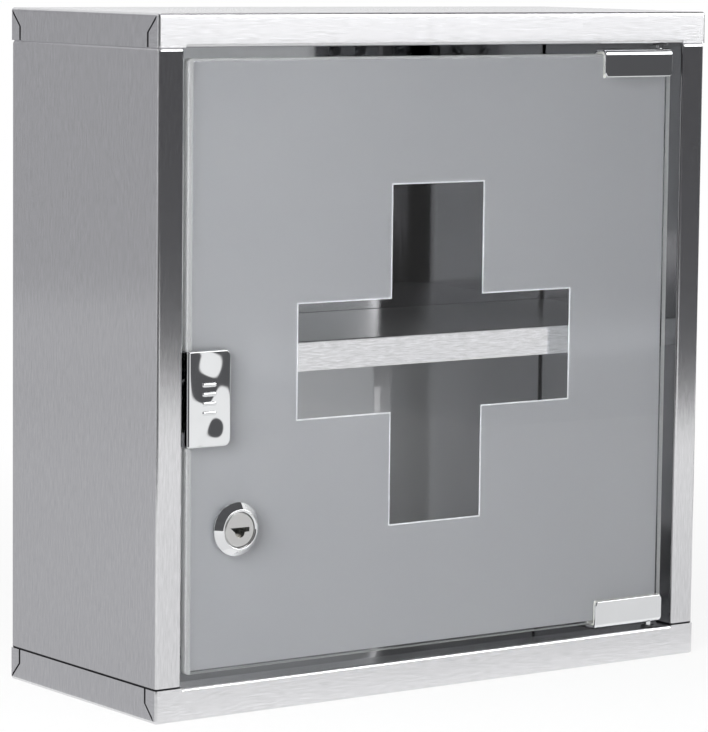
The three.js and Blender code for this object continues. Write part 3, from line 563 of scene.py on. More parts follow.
def frosted(name):
    """Frosted back of the pane: scattering grey with a fine sparkle, and a painted highlight on a thin rim
    round the cross.
    """
    material, tree, shader = new_material(name)
    place = coordinates(tree)
    speck = noise(tree, place, 1700, detail=3.0, roughness=0.6)
    cloud = noise(tree, place, 8, detail=4.0, roughness=0.55)
    mixed = blend_values(tree, speck, cloud, 0.6)
    tree.links.new(ramp(tree, mixed, *FROST_TONES), shader.inputs["Base Color"])
    tree.links.new(span(tree, speck, 0.5, 0.62), shader.inputs["Roughness"])
    shader.inputs["Specular IOR Level"].default_value = 0.1
    bump(tree, shader, speck, distance_mm=0.01, strength=0.5)
    through = tree.nodes.new("ShaderNodeBsdfTranslucent")
    tree.links.new(ramp(tree, mixed, *FROST_TINTS), through.inputs["Color"])
    body = mix_shaders(tree, FROST_THROUGH, shader.outputs["BSDF"], through.outputs["BSDF"])
    # Painted highlight on the rim: diffuse and translucent scattering added together
    rim_highlight = tree.nodes.new("ShaderNodeAddShader")
    pale = ramp(tree, speck, *RIM_HIGHLIGHT_TINTS)
    for side, kind in enumerate(("ShaderNodeBsdfDiffuse", "ShaderNodeBsdfTranslucent")):
        scatter = tree.nodes.new(kind)
        tree.links.new(pale, scatter.inputs["Color"])
        tree.links.new(scatter.outputs["BSDF"], rim_highlight.inputs[side])
    face = mix_shaders(tree, cross_highlight_rim(tree, place), body, rim_highlight.outputs["Shader"])
    show(tree, shadow_clear(tree, face, FROST_SHADOW))
    return material


STEEL = brushed_steel("case_steel_brushed", (0.73, 0.73, 0.745), 0.205, 0.06)
SHELF_STEEL = brushed_steel("shelf_steel_brushed", (0.73, 0.73, 0.745), 0.205, 0.12)
REVERSE = polished_metal("case_steel_reverse", (0.36, 0.36, 0.37), 0.12, 0.3)
# Near-black steel on the side panels under the caps and on their lower step: painted shade that makes the
# seams dark
SEAM_SHADE_STEEL = polished_metal("case_steel_painted_seam_shade", (0.05, 0.05, 0.055), 0.5, 0.3)
# Inner steel; below the shelf, in front of the satin back, it carries painted light for the brighter lower
# compartment
MIRROR_STEEL = polished_metal(
    "inner_steel_bright", (0.61, 0.61, 0.62), 0.035, 0.3,
    satin_behind=BACK_REAR - 0.2, painted_light_below=SHELF_LOW[2])
CHROME = polished_metal("fitting_chrome", (0.80, 0.81, 0.82), 0.025)
SATIN = polished_metal("lock_satin_nickel", (0.74, 0.737, 0.727), 0.30, 0.3)
ZINC = polished_metal("fastener_zinc", (0.55, 0.56, 0.58), 0.28, 0.4)
WAFER_METAL = polished_metal("wafer_nickel", (0.60, 0.58, 0.53), 0.3, 0.3)
GLASS = float_glass("door_glass_clear")
FROST = frosted("door_frosting")
BLACK = moulded("bush_black_plastic", (0.02, 0.02, 0.022), 0.45)
WHITE = moulded("latch_white_plastic", (0.72, 0.72, 0.69), 0.42)
LINER = moulded("soft_liner", (0.55, 0.55, 0.52), 0.6, 0.4)
FERRITE = moulded("magnet_ferrite", (0.06, 0.06, 0.065), 0.5)

SLOT_FINISH = {
    "brushed_steel": STEEL, "inner_steel": MIRROR_STEEL, "chrome": CHROME, "satin_steel": SATIN,
    "zinc_steel": ZINC, "brass": WAFER_METAL, "clear_glass": GLASS, "frosted_film": FROST,
    "black_plastic": BLACK, "white_plastic": WHITE, "soft_liner": LINER, "magnet": FERRITE,
}


def dress_cad_nodes():
    """Gives every CAD node the finish of its slot, in all of its material slots."""
    for row in frame["record"]["subparts"]:
        mesh = nodes[row["node"]].data
        finish = SLOT_FINISH[row["material_slot"]]
        for slot in range(len(mesh.materials)):
            mesh.materials[slot] = finish


# Case

# Where each piece's flat pattern starts, so that no two pieces have the same grain
PATTERN_START = {
    "top_cap_sheet": 0, "left_side_panel_sheet": 400, "bottom_cap_sheet": 700,
    "right_side_panel_sheet": 1200, "shelf_sheet": 1500,
}
# Places in a side panel's list of finishes, each followed by the finish of the inner side there:
# near-black painted shade for the seams under the caps, and the darker reverse metal on the inner return
SEAM_SHADE_PLACE, TURNED_IN = 2, 4
RETURN_MARGIN = 0.3


def eased(low, high, count):
    """count heights from low to high, and for each a share that eases from 0 to 1: t * t * (3 - 2 t)."""
    t = spread(0, 1, count)
    return low + (high - low) * t, t * t * (3 - 2 * t)


def make_side_panel(name, side):
    """Folded side panel: the path across its folds, carried up the case, steps in at both ends.

    The path runs along the rear return, wall, stile and inner return. A level's path is the outer one
    times 1 - share plus the tucked one times share, where the share eases from 0 to 1 at the caps.
    The flat pattern has the height along U. Under the caps and on the lower step the sheet is near-black
    steel, painted shade that makes the seams dark; on the inner return both faces take the darker reverse
    metal.
    """
    stile_middle = PANEL_LOW[0] + SHEET / 2
    stile_end = -CASE_HALF_DEPTH + CAP_PROUD + STILE_RETURN

    def level(inset):
        """The path across the folds at one height, drawn in by the inset."""
        x = PANEL_HIGH[0] - inset - SHEET / 2
        y = PANEL_HIGH[1] - inset - SHEET / 2
        corners = [(x - REAR_RETURN, y), (x, y), (x, -y), (stile_middle, -y), (stile_middle, stile_end)]
        return bent_path(corners, MIDDLE_BEND)

    low, high, top_edge = PANEL_LOW[2], PANEL_HIGH[2], CASE_HEIGHT - SKIRT
    below, below_share = eased(SKIRT + JOGGLE_BOTTOM, SKIRT - STEP_OVERLAP, JOGGLE_STEPS)
    above, above_share = eased(top_edge - JOGGLE_TOP, top_edge + STEP_OVERLAP, JOGGLE_STEPS)
    plain = spread(below[0], above[0], PANEL_LEVELS)[1:-1]
    heights = np.concatenate([[low], below[::-1], plain, above, [high]])
    shares = np.concatenate([[1], below_share[::-1], 0 * plain, above_share, [1]])[None, :, None]
    outer, lengths = level(0)
    tucked, _ = level(TUCK)
    across = outer[:, None, :] * (1 - shares) + tucked[:, None, :] * shares
    up = np.broadcast_to(heights[None, :, None], across.shape[:2] + (1,))
    place = np.concatenate([across, up], -1) * np.array([side, 1, 1])
    flat = np.stack(np.broadcast_arrays(heights[None, :], lengths[:, None] + PATTERN_START[name]), -1)
    mesh = sheet_mesh(name, [(place, flat)], CASE_MIDDLE)
    node = name.removesuffix("_sheet")
    place_piece(mesh, STEEL, "case", [node], SHEET, REVERSE, CUT_EDGE)
    for finish in (SEAM_SHADE_STEEL, REVERSE, REVERSE, REVERSE):
        mesh.materials.append(finish)
    middles = np.array([face.center for face in mesh.polygons]) / MM
    # Faces under the caps and on the lower step carry the painted seam shade
    seam_shade = (middles[:, 2] > top_edge + STEP_OVERLAP) | (middles[:, 2] < SKIRT + JOGGLE_BOTTOM)
    turned_in = (np.abs(middles[:, 0]) < stile_middle + RETURN_MARGIN) & (middles[:, 1] < stile_end)
    finishes = np.where(seam_shade, SEAM_SHADE_PLACE, np.where(turned_in, TURNED_IN, 0))
    mesh.polygons.foreach_set("material_index", finishes.astype(np.int32))


CAP_ROWS = 17
CAP_COLUMNS = 41
CAP_LEVELS = 6
LIP_ROWS = 3
TAB_COLUMNS = 5
TAB_LEAST = 0.02


def cap_patches():
    """Middle surface of the top cap as patches, in mm, with the grain along X of the flat sheet.

    A strip across the depth makes the rear skirt, the top and the front skirt, which turns in to the
    lip between the stiles. The side skirts bend down from the top, and the corner tabs bend round
    from the front and rear skirts to a seam that runs diagonally from the corner, then straight down.
    """
    half_x, half_y = CASE_HALF_WIDTH - SHEET / 2, CASE_HALF_DEPTH - SHEET / 2
    flat_x, flat_y = half_x - MIDDLE_BEND, half_y - MIDDLE_BEND
    top, edge = CASE_HEIGHT - SHEET / 2, CASE_HEIGHT - SKIRT
    bend_z = top - MIDDLE_BEND
    lip_start = edge + SHEET / 2 + MIDDLE_BEND
    arc = MIDDLE_BEND * math.pi / 2
    turns = spread(0, math.pi / 2, BEND_STEPS + 1)
    kink = CASE_HEIGHT - TAB_WIDTH
    levels = np.concatenate([spread(bend_z, kink, CAP_LEVELS), [(kink + lip_start) / 2, lip_start, edge]])
    ys = spread(-flat_y, flat_y, CAP_ROWS)
    columns = np.concatenate([[-flat_x], spread(-LIP_HALF, LIP_HALF, CAP_COLUMNS), [flat_x]])
    patches = []

    def patch(x, y, z, u, v):
        """Adds one grid of points (x, y, z) with its flat pattern (u, v)."""
        x, y, z, u, v = np.broadcast_arrays(x, y, z, u, v)
        patches.append((np.stack([x, y, z], -1).astype(float), np.stack([u, v], -1).astype(float)))

    def column(values):
        """One value for each row of a grid."""
        return np.asarray(values)[:, None]

    patch(columns, column(ys), top, columns, column(ys))
    for sign in (-1, 1):
        y_bend = sign * (flat_y + MIDDLE_BEND * np.sin(turns))
        z_bend = bend_z + MIDDLE_BEND * np.cos(turns)
        v_bend = sign * (flat_y + MIDDLE_BEND * turns)
        patch(columns, column(y_bend), column(z_bend), columns, column(v_bend))
        skirt_v = sign * (flat_y + arc + bend_z - levels)
        stop = len(levels) - 1 if sign < 0 else len(levels)
        patch(columns, sign * half_y, column(levels[:stop]), columns, column(skirt_v[:stop]))
    ends = levels[-2:]
    for pair in (columns[:2], columns[-2:]):
        patch(pair, -half_y, column(ends), pair, column(-(flat_y + arc + bend_z - ends)))
    lip = columns[1:-1]
    lip_y = -half_y + MIDDLE_BEND * (1 - np.cos(turns))
    lip_z = lip_start - MIDDLE_BEND * np.sin(turns)
    lip_v = -(flat_y + arc + bend_z - lip_start)
    patch(lip, column(lip_y), column(lip_z), lip, column(lip_v - MIDDLE_BEND * turns))
    run = spread(lip_y[-1], -CASE_HALF_DEPTH + LIP_DEPTH, LIP_ROWS)
    patch(lip, column(run), lip_z[-1], lip, column(lip_v - arc - (run - run[0])))

    drop = CASE_HEIGHT - levels
    seam = np.minimum(drop, TAB_WIDTH)
    skirt_limit = np.minimum(CASE_HALF_DEPTH - seam - SEAM / 2, flat_y)
    tab_limit = np.minimum(CASE_HALF_DEPTH - seam + SEAM / 2, flat_y - TAB_LEAST)
    share = ys / flat_y
    for side in (-1, 1):
        x_bend = side * (flat_x + MIDDLE_BEND * np.sin(turns))
        z_bend = bend_z + MIDDLE_BEND * np.cos(turns)
        u_bend = side * (flat_x + MIDDLE_BEND * turns)
        patch(column(x_bend), share * flat_y, column(z_bend), column(u_bend), share * flat_y)
        reach = column(skirt_limit) * share
        patch(side * half_x, reach, column(levels), column(side * (flat_x + arc + bend_z - levels)), reach)
        for sign in (-1, 1):
            tab_y = sign * (flat_y + MIDDLE_BEND * np.cos(turns))
            tab_v = column(sign * (flat_y + arc + bend_z - levels))
            patch(x_bend, tab_y, column(levels), u_bend, tab_v)
            tab_reach = flat_y + (column(tab_limit) - flat_y) * spread(0, 1, TAB_COLUMNS)
            tab_u = side * (flat_x + arc + flat_y - tab_reach)
            patch(side * half_x, sign * tab_reach, column(levels), tab_u, tab_v)
            lift = column(turns)
            corner_x = side * (flat_x + MIDDLE_BEND * np.cos(lift) * np.sin(turns))
            corner_y = sign * (flat_y + MIDDLE_BEND * np.cos(lift) * np.cos(turns))
            corner_z = bend_z + MIDDLE_BEND * np.sin(lift)
            patch(corner_x, corner_y, corner_z, u_bend, sign * (flat_y + MIDDLE_BEND * lift))
    return patches


def make_cap(name, upright):
    """One cap from the patches; the bottom cap is the same folding turned over at mid height."""
    patches = [(place, flat + PATTERN_START[name]) for place, flat in cap_patches()]
    if not upright:
        patches = [(place * [1, 1, -1] + [0, 0, CASE_HEIGHT], flat) for place, flat in patches]
    mesh = sheet_mesh(name, patches, CASE_MIDDLE)
    node = name.removesuffix("_sheet")
    place_piece(mesh, STEEL, "case", [node], SHEET, REVERSE, CUT_EDGE)


SHELF_COLUMNS = 13


def make_shelf():
    """Shelf: the path front lip, tray and rear flange, carried across the case along X."""
    front, rear = SHELF_LOW[1] + SHEET / 2, SHELF_HIGH[1] - SHEET / 2
    top = SHELF_HIGH[2] - SHEET / 2
    corners = [(front, SHELF_LOW[2]), (front, top), (rear, top), (rear, SHELF_HIGH[2] - SHELF_REAR_FLANGE)]
    path, lengths = bent_path(corners, MIDDLE_BEND)
    xs = spread(SHELF_LOW[0], SHELF_HIGH[0], SHELF_COLUMNS)
    place = np.concatenate([
        np.broadcast_to(xs[None, :, None], (len(path), len(xs), 1)),
        np.broadcast_to(path[:, None, :], (len(path), len(xs), 2)),
    ], -1)
    name = "shelf_sheet"
    flat = np.stack(np.broadcast_arrays(xs[None, :], lengths[:, None] + PATTERN_START[name]), -1)
    mesh = sheet_mesh(name, [(place, flat)], (0, 0, SHELF_LOW[2]))
    place_piece(mesh, SHELF_STEEL, "case", ["shelf"], SHEET, REVERSE, CUT_EDGE)


# Door fittings

EDGE_STEPS = 7
CLIP_WALL = 1.5
CLIP_BEND = 2.8
CLIP_BEND_STEPS = 12
CLIP_CORNER = 2.4
CLIP_CORNER_STEPS = 9
CLIP_EDGE = 0.7
CLIP_COLUMNS = 17


def round_steps(radius, count):
    """Distances from an edge to its radius, closer together near the edge."""
    return radius * (1 - np.cos(spread(0, math.pi / 2, count)))


def round_drop(distance, radius):
    """How far a rounded edge falls at a distance from it: r - sqrt(r^2 - (r - d)^2), and 0 beyond r."""
    short = radius - np.minimum(distance, radius)
    return radius - np.sqrt(np.maximum(radius ** 2 - short ** 2, 0))


def make_hinge_clip(end):
    """Hinge clip: a U path over the edge of the pane carried along X, as a thick sheet with round edges.

    Near a leg's end the half length shrinks as a rounded corner does. The outer and the inner surface
    stand off the middle one by half the wall, less the drop of a rounded edge near the outline.
    """
    low, high = box_mm(f"{end}_hinge_clip")
    half = CLIP_WALL / 2
    opening, web = (low[2], high[2] - half) if end == "top" else (high[2], low[2] + half)
    front, rear = low[1] + half, high[1] - half
    corners = [(front, opening), (front, web), (rear, web), (rear, opening)]
    path, lengths = bent_path(corners, CLIP_BEND - half, CLIP_BEND_STEPS)
    edge, total = round_steps(CLIP_EDGE, EDGE_STEPS), lengths[-1]
    stops = np.concatenate([edge, round_steps(CLIP_CORNER, CLIP_CORNER_STEPS)])
    along = np.unique(np.concatenate([lengths, stops, total - stops]).round(4))
    path = np.stack([np.interp(along, lengths, path[:, k]) for k in (0, 1)], -1)
    tangent = np.gradient(path, along, axis=0)
    tangent /= np.linalg.norm(tangent, axis=1, keepdims=True)
    from_end = np.minimum(along, total - along)[:, None]
    length = (high[0] - low[0]) / 2 - round_drop(from_end, CLIP_CORNER)
    inner = (length - CLIP_EDGE) * spread(-1, 1, CLIP_COLUMNS)[None, 1:-1]
    xs = (low[0] + high[0]) / 2 + np.concatenate([edge - length, inner, (length - edge)[:, ::-1]], 1)
    from_side = np.concatenate([edge, np.full(inner.shape[1], CLIP_EDGE), edge[::-1]])[None, :]
    stand = half - round_drop(np.minimum(from_end, from_side), CLIP_EDGE)
    faces = []
    for sign in (-1, 1):
        y = path[:, :1] + sign * stand * tangent[:, 1:]
        z = path[:, 1:] - sign * stand * tangent[:, :1]
        faces.append(np.stack([xs, y, z], -1))
    flat = np.stack(np.broadcast_arrays(xs, along[:, None]), -1)
    patches = [(face, flat) for face in faces]
    for cut in (np.s_[0], np.s_[-1], np.s_[:, 0], np.s_[:, -1]):
        patches.append((np.stack([face[cut] for face in faces]), np.stack([flat[cut]] * 2)))
    mesh = sheet_mesh(f"{end}_hinge_clip_plated", patches)
    place_piece(mesh, CHROME, "door", [f"{end}_hinge_clip"])


PLATE_FACE = 1.8
PLATE_LEG = 1.0
PLATE_BEND = 1.2
PLATE_BEND_STEPS = 9
PLATE_CORNER = 3.0
PLATE_CORNER_STEPS = 10
PLATE_EDGE = 0.6
PLATE_FLAT_START = 0.6
PLATE_BACK_WIDTH = 17.4
PLATE_COLUMNS = 27
PLATE_LEVELS = 46
PLATE_WAVE = 0.17
SINE_UP, SINE_OVER = 9, 2.4
COSINE_UP, COSINE_OVER = -3, 5


def make_push_plate():
    """Push plate: its closed section carried up the pane, with round corners and rounded edges.

    At each height the section is drawn in by the drop of a rounded edge near the ends, and its right edge
    follows the corner circles. Pressing leaves the face slightly wavy: it sinks by the wave depth times
    1 plus a sine times a cosine of its place across and up the face, which fades to 0 at the outline.
    """
    x0, x1 = PLATE_LOW[0], PLATE_HIGH[0]
    y0, y1 = PLATE_LOW[1], PLATE_HIGH[1]
    bottom, top, r = PLATE_LOW[2], PLATE_HIGH[2], PLATE_BEND
    edge = round_steps(PLATE_EDGE, EDGE_STEPS)
    ends = np.unique(np.concatenate([edge, round_steps(PLATE_CORNER, PLATE_CORNER_STEPS)]).round(4))
    middle = spread(bottom + PLATE_CORNER, top - PLATE_CORNER, PLATE_LEVELS)[1:-1]
    heights = np.concatenate([bottom + ends, middle, top - ends[::-1]])
    from_end = np.minimum(heights - bottom, top - heights)[:, None]
    drop = round_drop(from_end, PLATE_EDGE)
    limit = x1 - round_drop(from_end, PLATE_CORNER)

    def arc(cy, start, stop):
        """A round corner of the section: its centre plus the radius less the drop at each angle."""
        angles = np.radians(spread(start, stop, PLATE_BEND_STEPS))[None, :]
        return x0 + r + (r - drop) * np.cos(angles), cy + (r - drop) * np.sin(angles)

    def corner(x, y):
        """A sharp corner of the section at every height."""
        return np.broadcast_to(x, drop.shape), np.broadcast_to(y, drop.shape)

    face, leg, inner, back = y0 + PLATE_FACE, y1 - PLATE_LEG, x0 + PLATE_LEG, x0 + PLATE_BACK_WIDTH
    start = x0 + r + PLATE_FLAT_START
    across = spread(0, 1, PLATE_COLUMNS)[None, :]
    face_x = np.concatenate([start + (limit - PLATE_EDGE - start) * across, limit - edge[None, -2::-1]], 1)
    from_side = np.concatenate([np.full(PLATE_COLUMNS, PLATE_EDGE), edge[-2::-1]])[None, :]
    up, over = (heights[:, None] - bottom) / (top - bottom), (face_x - x0) / (x1 - x0)
    wave = 1 + np.sin(SINE_UP * up + SINE_OVER * over) * np.cos(COSINE_UP * up + COSINE_OVER * over)
    fade = np.sin(math.pi * np.clip((face_x - start) / (limit - PLATE_EDGE - start), 0, 1))
    sink = PLATE_WAVE * wave * fade * np.sqrt(np.sin(math.pi * up))
    face_y = y0 + round_drop(np.minimum(from_end, from_side), PLATE_EDGE) + sink
    parts = [corner(limit, face), corner(inner, face), corner(inner, leg), corner(back, leg)]
    parts += [corner(back, y1 - drop), arc(y1 - r, 90, 180), arc(y0 + r, 180, 270), (face_x, face_y)]
    xs, ys = (np.concatenate([part[k] for part in parts], 1) for k in (0, 1))
    rings = np.stack(np.broadcast_arrays(xs, ys, heights[:, None]), -1)
    place_piece(ring_mesh("push_plate_plated", rings), CHROME, "door", ["push_plate"])


BAR_COUNT = 4
BAR_PITCH = 4.0
BAR_HALF_LENGTH = 2.6
BAR_HALF_WIDTH = 0.95
BAR_RISE = 0.45
BAR_SINK = 0.1
BAR_RINGS = 9
BAR_SIDES = 48
BAR_END_SHARE = 0.05
BAR_REVERSE = (0, 20, 0)


def make_plate_bars():
    """Plain raised bars across the push plate, each a long dome.

    Round the dome a point is a point of the spine plus rho times the half width outwards, and it rises
    by the square root of 1 - rho squared. The point of the spine is one of its ends, but goes over to
    the other end where the cosine of the angle is within BAR_END_SHARE of 0.
    """
    rho = np.sin(spread(0, math.pi / 2, BAR_RINGS))[:, None]
    angles = spread(0, 2 * math.pi, BAR_SIDES + 1)[None, :]
    spine = BAR_HALF_LENGTH * np.clip(np.cos(angles) / BAR_END_SHARE, -1, 1)
    x = (PLATE_LOW[0] + PLATE_HIGH[0]) / 2 + spine + rho * BAR_HALF_WIDTH * np.cos(angles)
    y = PLATE_LOW[1] + BAR_SINK - (BAR_RISE + BAR_SINK) * np.sqrt(1 - rho ** 2) + 0 * angles
    patches = []
    for k in range(BAR_COUNT):
        middle = (PLATE_LOW[2] + PLATE_HIGH[2]) / 2 + (k - (BAR_COUNT - 1) / 2) * BAR_PITCH
        z = middle + rho * BAR_HALF_WIDTH * np.sin(angles)
        patches.append((np.stack([x, y, z], -1), np.stack([x, z], -1)))
    mesh = sheet_mesh("push_plate_bars", patches, (PLATE_LOW + PLATE_HIGH) / 2 + BAR_REVERSE)
    place_piece(mesh, CHROME, "door")


LOCK_NEAR = 0.05
LOCK_MOUTH = 0.6
LOCK_CHAMFER = 0.5
LOCK_EDGE = 0.14
LOCK_SIDES = 112
RIM_ROUND = 0.35
RIM_STEP = 0.25
HEAD_BAND = 0.55
THREAD_PITCH = 1.0
THREAD_DEPTH = 0.45
THREAD_START = 1.0
THREAD_END = 0.8


def make_lock_barrel():
    """Lock body: conical head, rim, bore with its shoulder and threaded tube, turned about Y.

    Its radii and depths are read from the CAD node, and the thread is a zigzag of the tube's outline.
    """
    low, high = LOCK_LOW[1], LOCK_HIGH[1]
    cad = np.array([v.co for v in nodes["lock_barrel"].data.vertices]) / MM
    radius = np.hypot(cad[:, 0] - LOCK_X, cad[:, 2] - LOCK_Z)
    head = radius.max()
    head_back = cad[radius > head - LOCK_NEAR, 1].max()
    tube = radius[cad[:, 1] > high - LOCK_NEAR].max()
    tail = radius[cad[:, 1] > high - LOCK_NEAR].min()
    bore = radius[cad[:, 1] < low + LOCK_MOUTH].min()
    shoulder = cad[radius < bore - LOCK_NEAR, 1].min()
    crest = np.arange(head_back + THREAD_START, high - THREAD_END, THREAD_PITCH / 2)
    zigzag = [(tube - (THREAD_DEPTH if k % 2 else 0), y) for k, y in enumerate(crest)]
    outline = [
        (bore, (low + shoulder) / 2), (bore, low + LOCK_CHAMFER), (bore + LOCK_CHAMFER, low),
        (tube - RIM_ROUND, low), (tube, low + RIM_ROUND), (tube + RIM_STEP, low + HEAD_BAND),
        (head, head_back - HEAD_BAND), (head, head_back), (tube, head_back), *zigzag,
        (tube, high - LOCK_CHAMFER), (tube - LOCK_CHAMFER, high), (tail, high), (tail, shoulder),
        (bore, shoulder), (bore, (low + shoulder) / 2),
    ]
    mesh = turned_mesh("lock_barrel_plated", outline, (LOCK_X, 0, LOCK_Z), "y", LOCK_SIDES)
    place_piece(mesh, CHROME, "door", ["lock_barrel"], bevel=LOCK_EDGE, bevel_steps=3)


PIN_CHAMFER = 0.35
PIN_EDGE = 0.08
PIN_SIDES = 48


def make_pin(end):
    """Pivot pin with chamfered ends, turned about Z."""
    low, high = box_mm(f"{end}_pivot_pin")
    radius = (high[0] - low[0]) / 2
    outline = [
        (0, low[2]), (radius - PIN_CHAMFER, low[2]), (radius, low[2] + PIN_CHAMFER),
        (radius, high[2] - PIN_CHAMFER), (radius - PIN_CHAMFER, high[2]), (0, high[2]),
    ]
    mesh = turned_mesh(f"{end}_pivot_pin_turned", outline, (PIVOT_X, PIVOT_Y, 0), "z", PIN_SIDES)
    place_piece(mesh, CHROME, "door", [f"{end}_pivot_pin"], bevel=PIN_EDGE)


SPRING_WIRE = 0.8
SPRING_WIRE_SIDES = 12
SPRING_TURNS = 6
SPRING_TURN_STEPS = 36
SPRING_END_TURN = 0.08


def make_latch_spring():
    """Round wire wound on a helix about Y, with an end coil lying flat at either end.

    The middle line goes round at an even rate while its place along Y runs from end to end, holding
    still over the first and last share of the length. A circle of the wire's radius, square to the
    middle line, is carried along it.
    """
    low, high = box_mm("latch_spring")
    middle = (low + high) / 2
    coil = (high[0] - low[0] - SPRING_WIRE) / 2
    along = spread(0, 1, SPRING_TURN_STEPS * SPRING_TURNS + 1)
    turn = 2 * math.pi * SPRING_TURNS * along
    run = np.clip((along - SPRING_END_TURN) / (1 - 2 * SPRING_END_TURN), 0, 1)
    depth = low[1] + SPRING_WIRE / 2 + (high[1] - low[1] - SPRING_WIRE) * run
    outward = np.stack([np.cos(turn), np.zeros_like(turn), np.sin(turn)], -1)
    path = np.stack([middle[0] + coil * outward[:, 0], depth, middle[2] + coil * outward[:, 2]], -1)
    ahead = np.gradient(path, axis=0)
    ahead /= np.linalg.norm(ahead, axis=1, keepdims=True)
    side = np.cross(ahead, outward)
    around = spread(0, 2 * math.pi, SPRING_WIRE_SIDES + 1)[:-1, None]
    circle = np.cos(around) * outward[:, None] + np.sin(around) * side[:, None]
    mesh = ring_mesh("latch_spring_wound", path[:, None] + SPRING_WIRE / 2 * circle)
    piece = place_piece(mesh, ZINC, "case", ["latch_spring"])
    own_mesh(piece)


# Studio

CAMERA_PLACE = (-983.5, -1352.0, 329.4)
CAMERA_YAW, CAMERA_PITCH, CAMERA_ROLL = -35.90, 6.52, 0.64
CAMERA_FOCAL_PX = 3696.3
PHOTO_HEIGHT_PX = 732
CAMERA_RANGE = 0.05, 60
SENSOR = 36.0


def turn_about(axis, degrees):
    """Rotation matrix about a named axis."""
    return np.array(Matrix.Rotation(math.radians(degrees), 3, axis))


def make_camera():
    """Camera at the photograph's place: yaw about Z, then pitch, then roll, in image axes.

    The rows of the image rotation are right, down and forward.
    """
    level = np.array([[1, 0, 0], [0, 0, -1], [0, 1, 0]]) @ turn_about("Z", CAMERA_YAW).T
    image = turn_about("Z", CAMERA_ROLL) @ turn_about("X", CAMERA_PITCH) @ level
    data = bpy.data.cameras.new("photo_camera")
    data.sensor_width = SENSOR
    data.lens = CAMERA_FOCAL_PX * SENSOR / PHOTO_HEIGHT_PX
    data.clip_start, data.clip_end = CAMERA_RANGE
    camera = bpy.data.objects.new("photo_camera", data)
    bpy.context.scene.collection.objects.link(camera)
    matrix = Matrix.Identity(4)
    for row in range(3):
        matrix[row][0], matrix[row][1], matrix[row][2] = image[0][row], -image[1][row], -image[2][row]
        matrix[row][3] = CAMERA_PLACE[row] * MM
    camera.matrix_world = matrix
    bpy.context.scene.camera = camera


ROOM_LIGHT = (0.96, 0.98, 1)
ROOM_STRENGTH = 0.3


def shown_rays(tree):
    """1 for what the camera, mirrors and glass see, and 0 for the light on matt surfaces.

    A ray that has left a matt surface stays light on it, also where it then passes through glass.
    """
    path = tree.nodes.new("ShaderNodeLightPath")
    seen = path.outputs["Is Camera Ray"]
    for kind in ("Is Glossy Ray", "Is Transmission Ray"):
        seen = larger(tree, seen, path.outputs[kind])
    return times(tree, seen, worked(tree, "LESS_THAN", path.outputs["Diffuse Depth"], 0.5))


def make_world():
    """White studio: full white to the camera, mirrors and glass, softer as light on matt surfaces."""
    world = bpy.data.worlds.new("white_studio")
    bpy.context.scene.world = world
    world.use_nodes = True
    tree = world.node_tree
    tree.nodes.clear()
    output = tree.nodes.new("ShaderNodeOutputWorld")
    shown, light = tree.nodes.new("ShaderNodeBackground"), tree.nodes.new("ShaderNodeBackground")
    shown.inputs["Color"].default_value = (1, 1, 1, 1)
    light.inputs["Color"].default_value = (*ROOM_LIGHT, 1)
    light.inputs["Strength"].default_value = ROOM_STRENGTH
    room = mix_shaders(tree, shown_rays(tree), light.outputs["Background"], shown.outputs["Background"])
    tree.links.new(room, output.inputs["Surface"])


def stage_plane(name, corners, material):
    """A flat studio surface through four corners in metres."""
    mesh = bpy.data.meshes.new(name)
    mesh.from_pydata(corners, [], [(0, 1, 2, 3)])
    mesh.materials.append(material)
    plane = bpy.data.objects.new(name, mesh)
    bpy.context.scene.collection.objects.link(plane)
    return plane


# Distances in metres
FLOOR_TONE = (0.9, 0.9, 0.9)
FLOOR_REACH = 12.0
FLOOR_NEAR, FLOOR_FAR = 0.25, 0.75
FLOOR_WHITE = 0.86


def make_floor():
    """White floor: matt near the object, so that it holds the shadow, and pure white further out.

    The share of plain white grows from FLOOR_WHITE at FLOOR_NEAR to 1 at FLOOR_FAR from the middle, and
    only for what the camera, mirrors and glass see; the light that the floor gives stays that of matt
    white.
    """
    material, tree, shader = new_material("floor")
    place = coordinates(tree)
    mottle = noise(tree, place, 3, detail=2.0)
    tree.links.new(ramp(tree, mottle, scaled(FLOOR_TONE, 0.99), FLOOR_TONE), shader.inputs["Base Color"])
    shader.inputs["Roughness"].default_value = 0.9
    shader.inputs["Specular IOR Level"].default_value = 0.1
    share = span(tree, distance_from(tree, place, (0, 0, 0)), FLOOR_WHITE, 1, FLOOR_NEAR, FLOOR_FAR)
    white = tree.nodes.new("ShaderNodeEmission")
    shown = times(tree, share, shown_rays(tree))
    show(tree, mix_shaders(tree, shown, shader.outputs["BSDF"], white.outputs["Emission"]))
    signs = ((-1, -1), (1, -1), (1, 1), (-1, 1))
    stage_plane("floor", [(x * FLOOR_REACH, y * FLOOR_REACH, 0) for x, y in signs], material)


# Place, target and size in metres, watts, and whether mirrors and glass see the lamp
LAMPS = {
    "key_softbox": ((-0.72, -0.56, 0.36), (0, 0, 0.15), 0.6, 13.4, False),
    "low_softbox": ((-0.2, -0.7, 0.13), (0, -0.06, 0.05), 0.24, 1.6, False),
    "top_softbox": ((0.2, 0.1, 2.1), (0, 0, 0.1), 1.6, 11.5, True),
}


def make_lamp(name, place, target, size, watts, mirrored):
    """Soft square lamp that looks from its place to the target."""
    data = bpy.data.lights.new(name, "AREA")
    data.size, data.energy = size, watts
    lamp = bpy.data.objects.new(name, data)
    bpy.context.scene.collection.objects.link(lamp)
    lamp.location = place
    lamp.rotation_euler = (Vector(target) - Vector(place)).to_track_quat("-Z", "Y").to_euler()
    lamp.visible_camera = False
    lamp.visible_glossy = mirrored
    lamp.visible_transmission = mirrored


CARD_WHITE = (1, 1, 1)
CARD_LIGHT = (0.8, 0.8, 0.805)
CARD_PALE = (0.56, 0.56, 0.575)
CARD_GREY = (0.44, 0.44, 0.455)
CARD_DARK = (0.105, 0.105, 0.11)
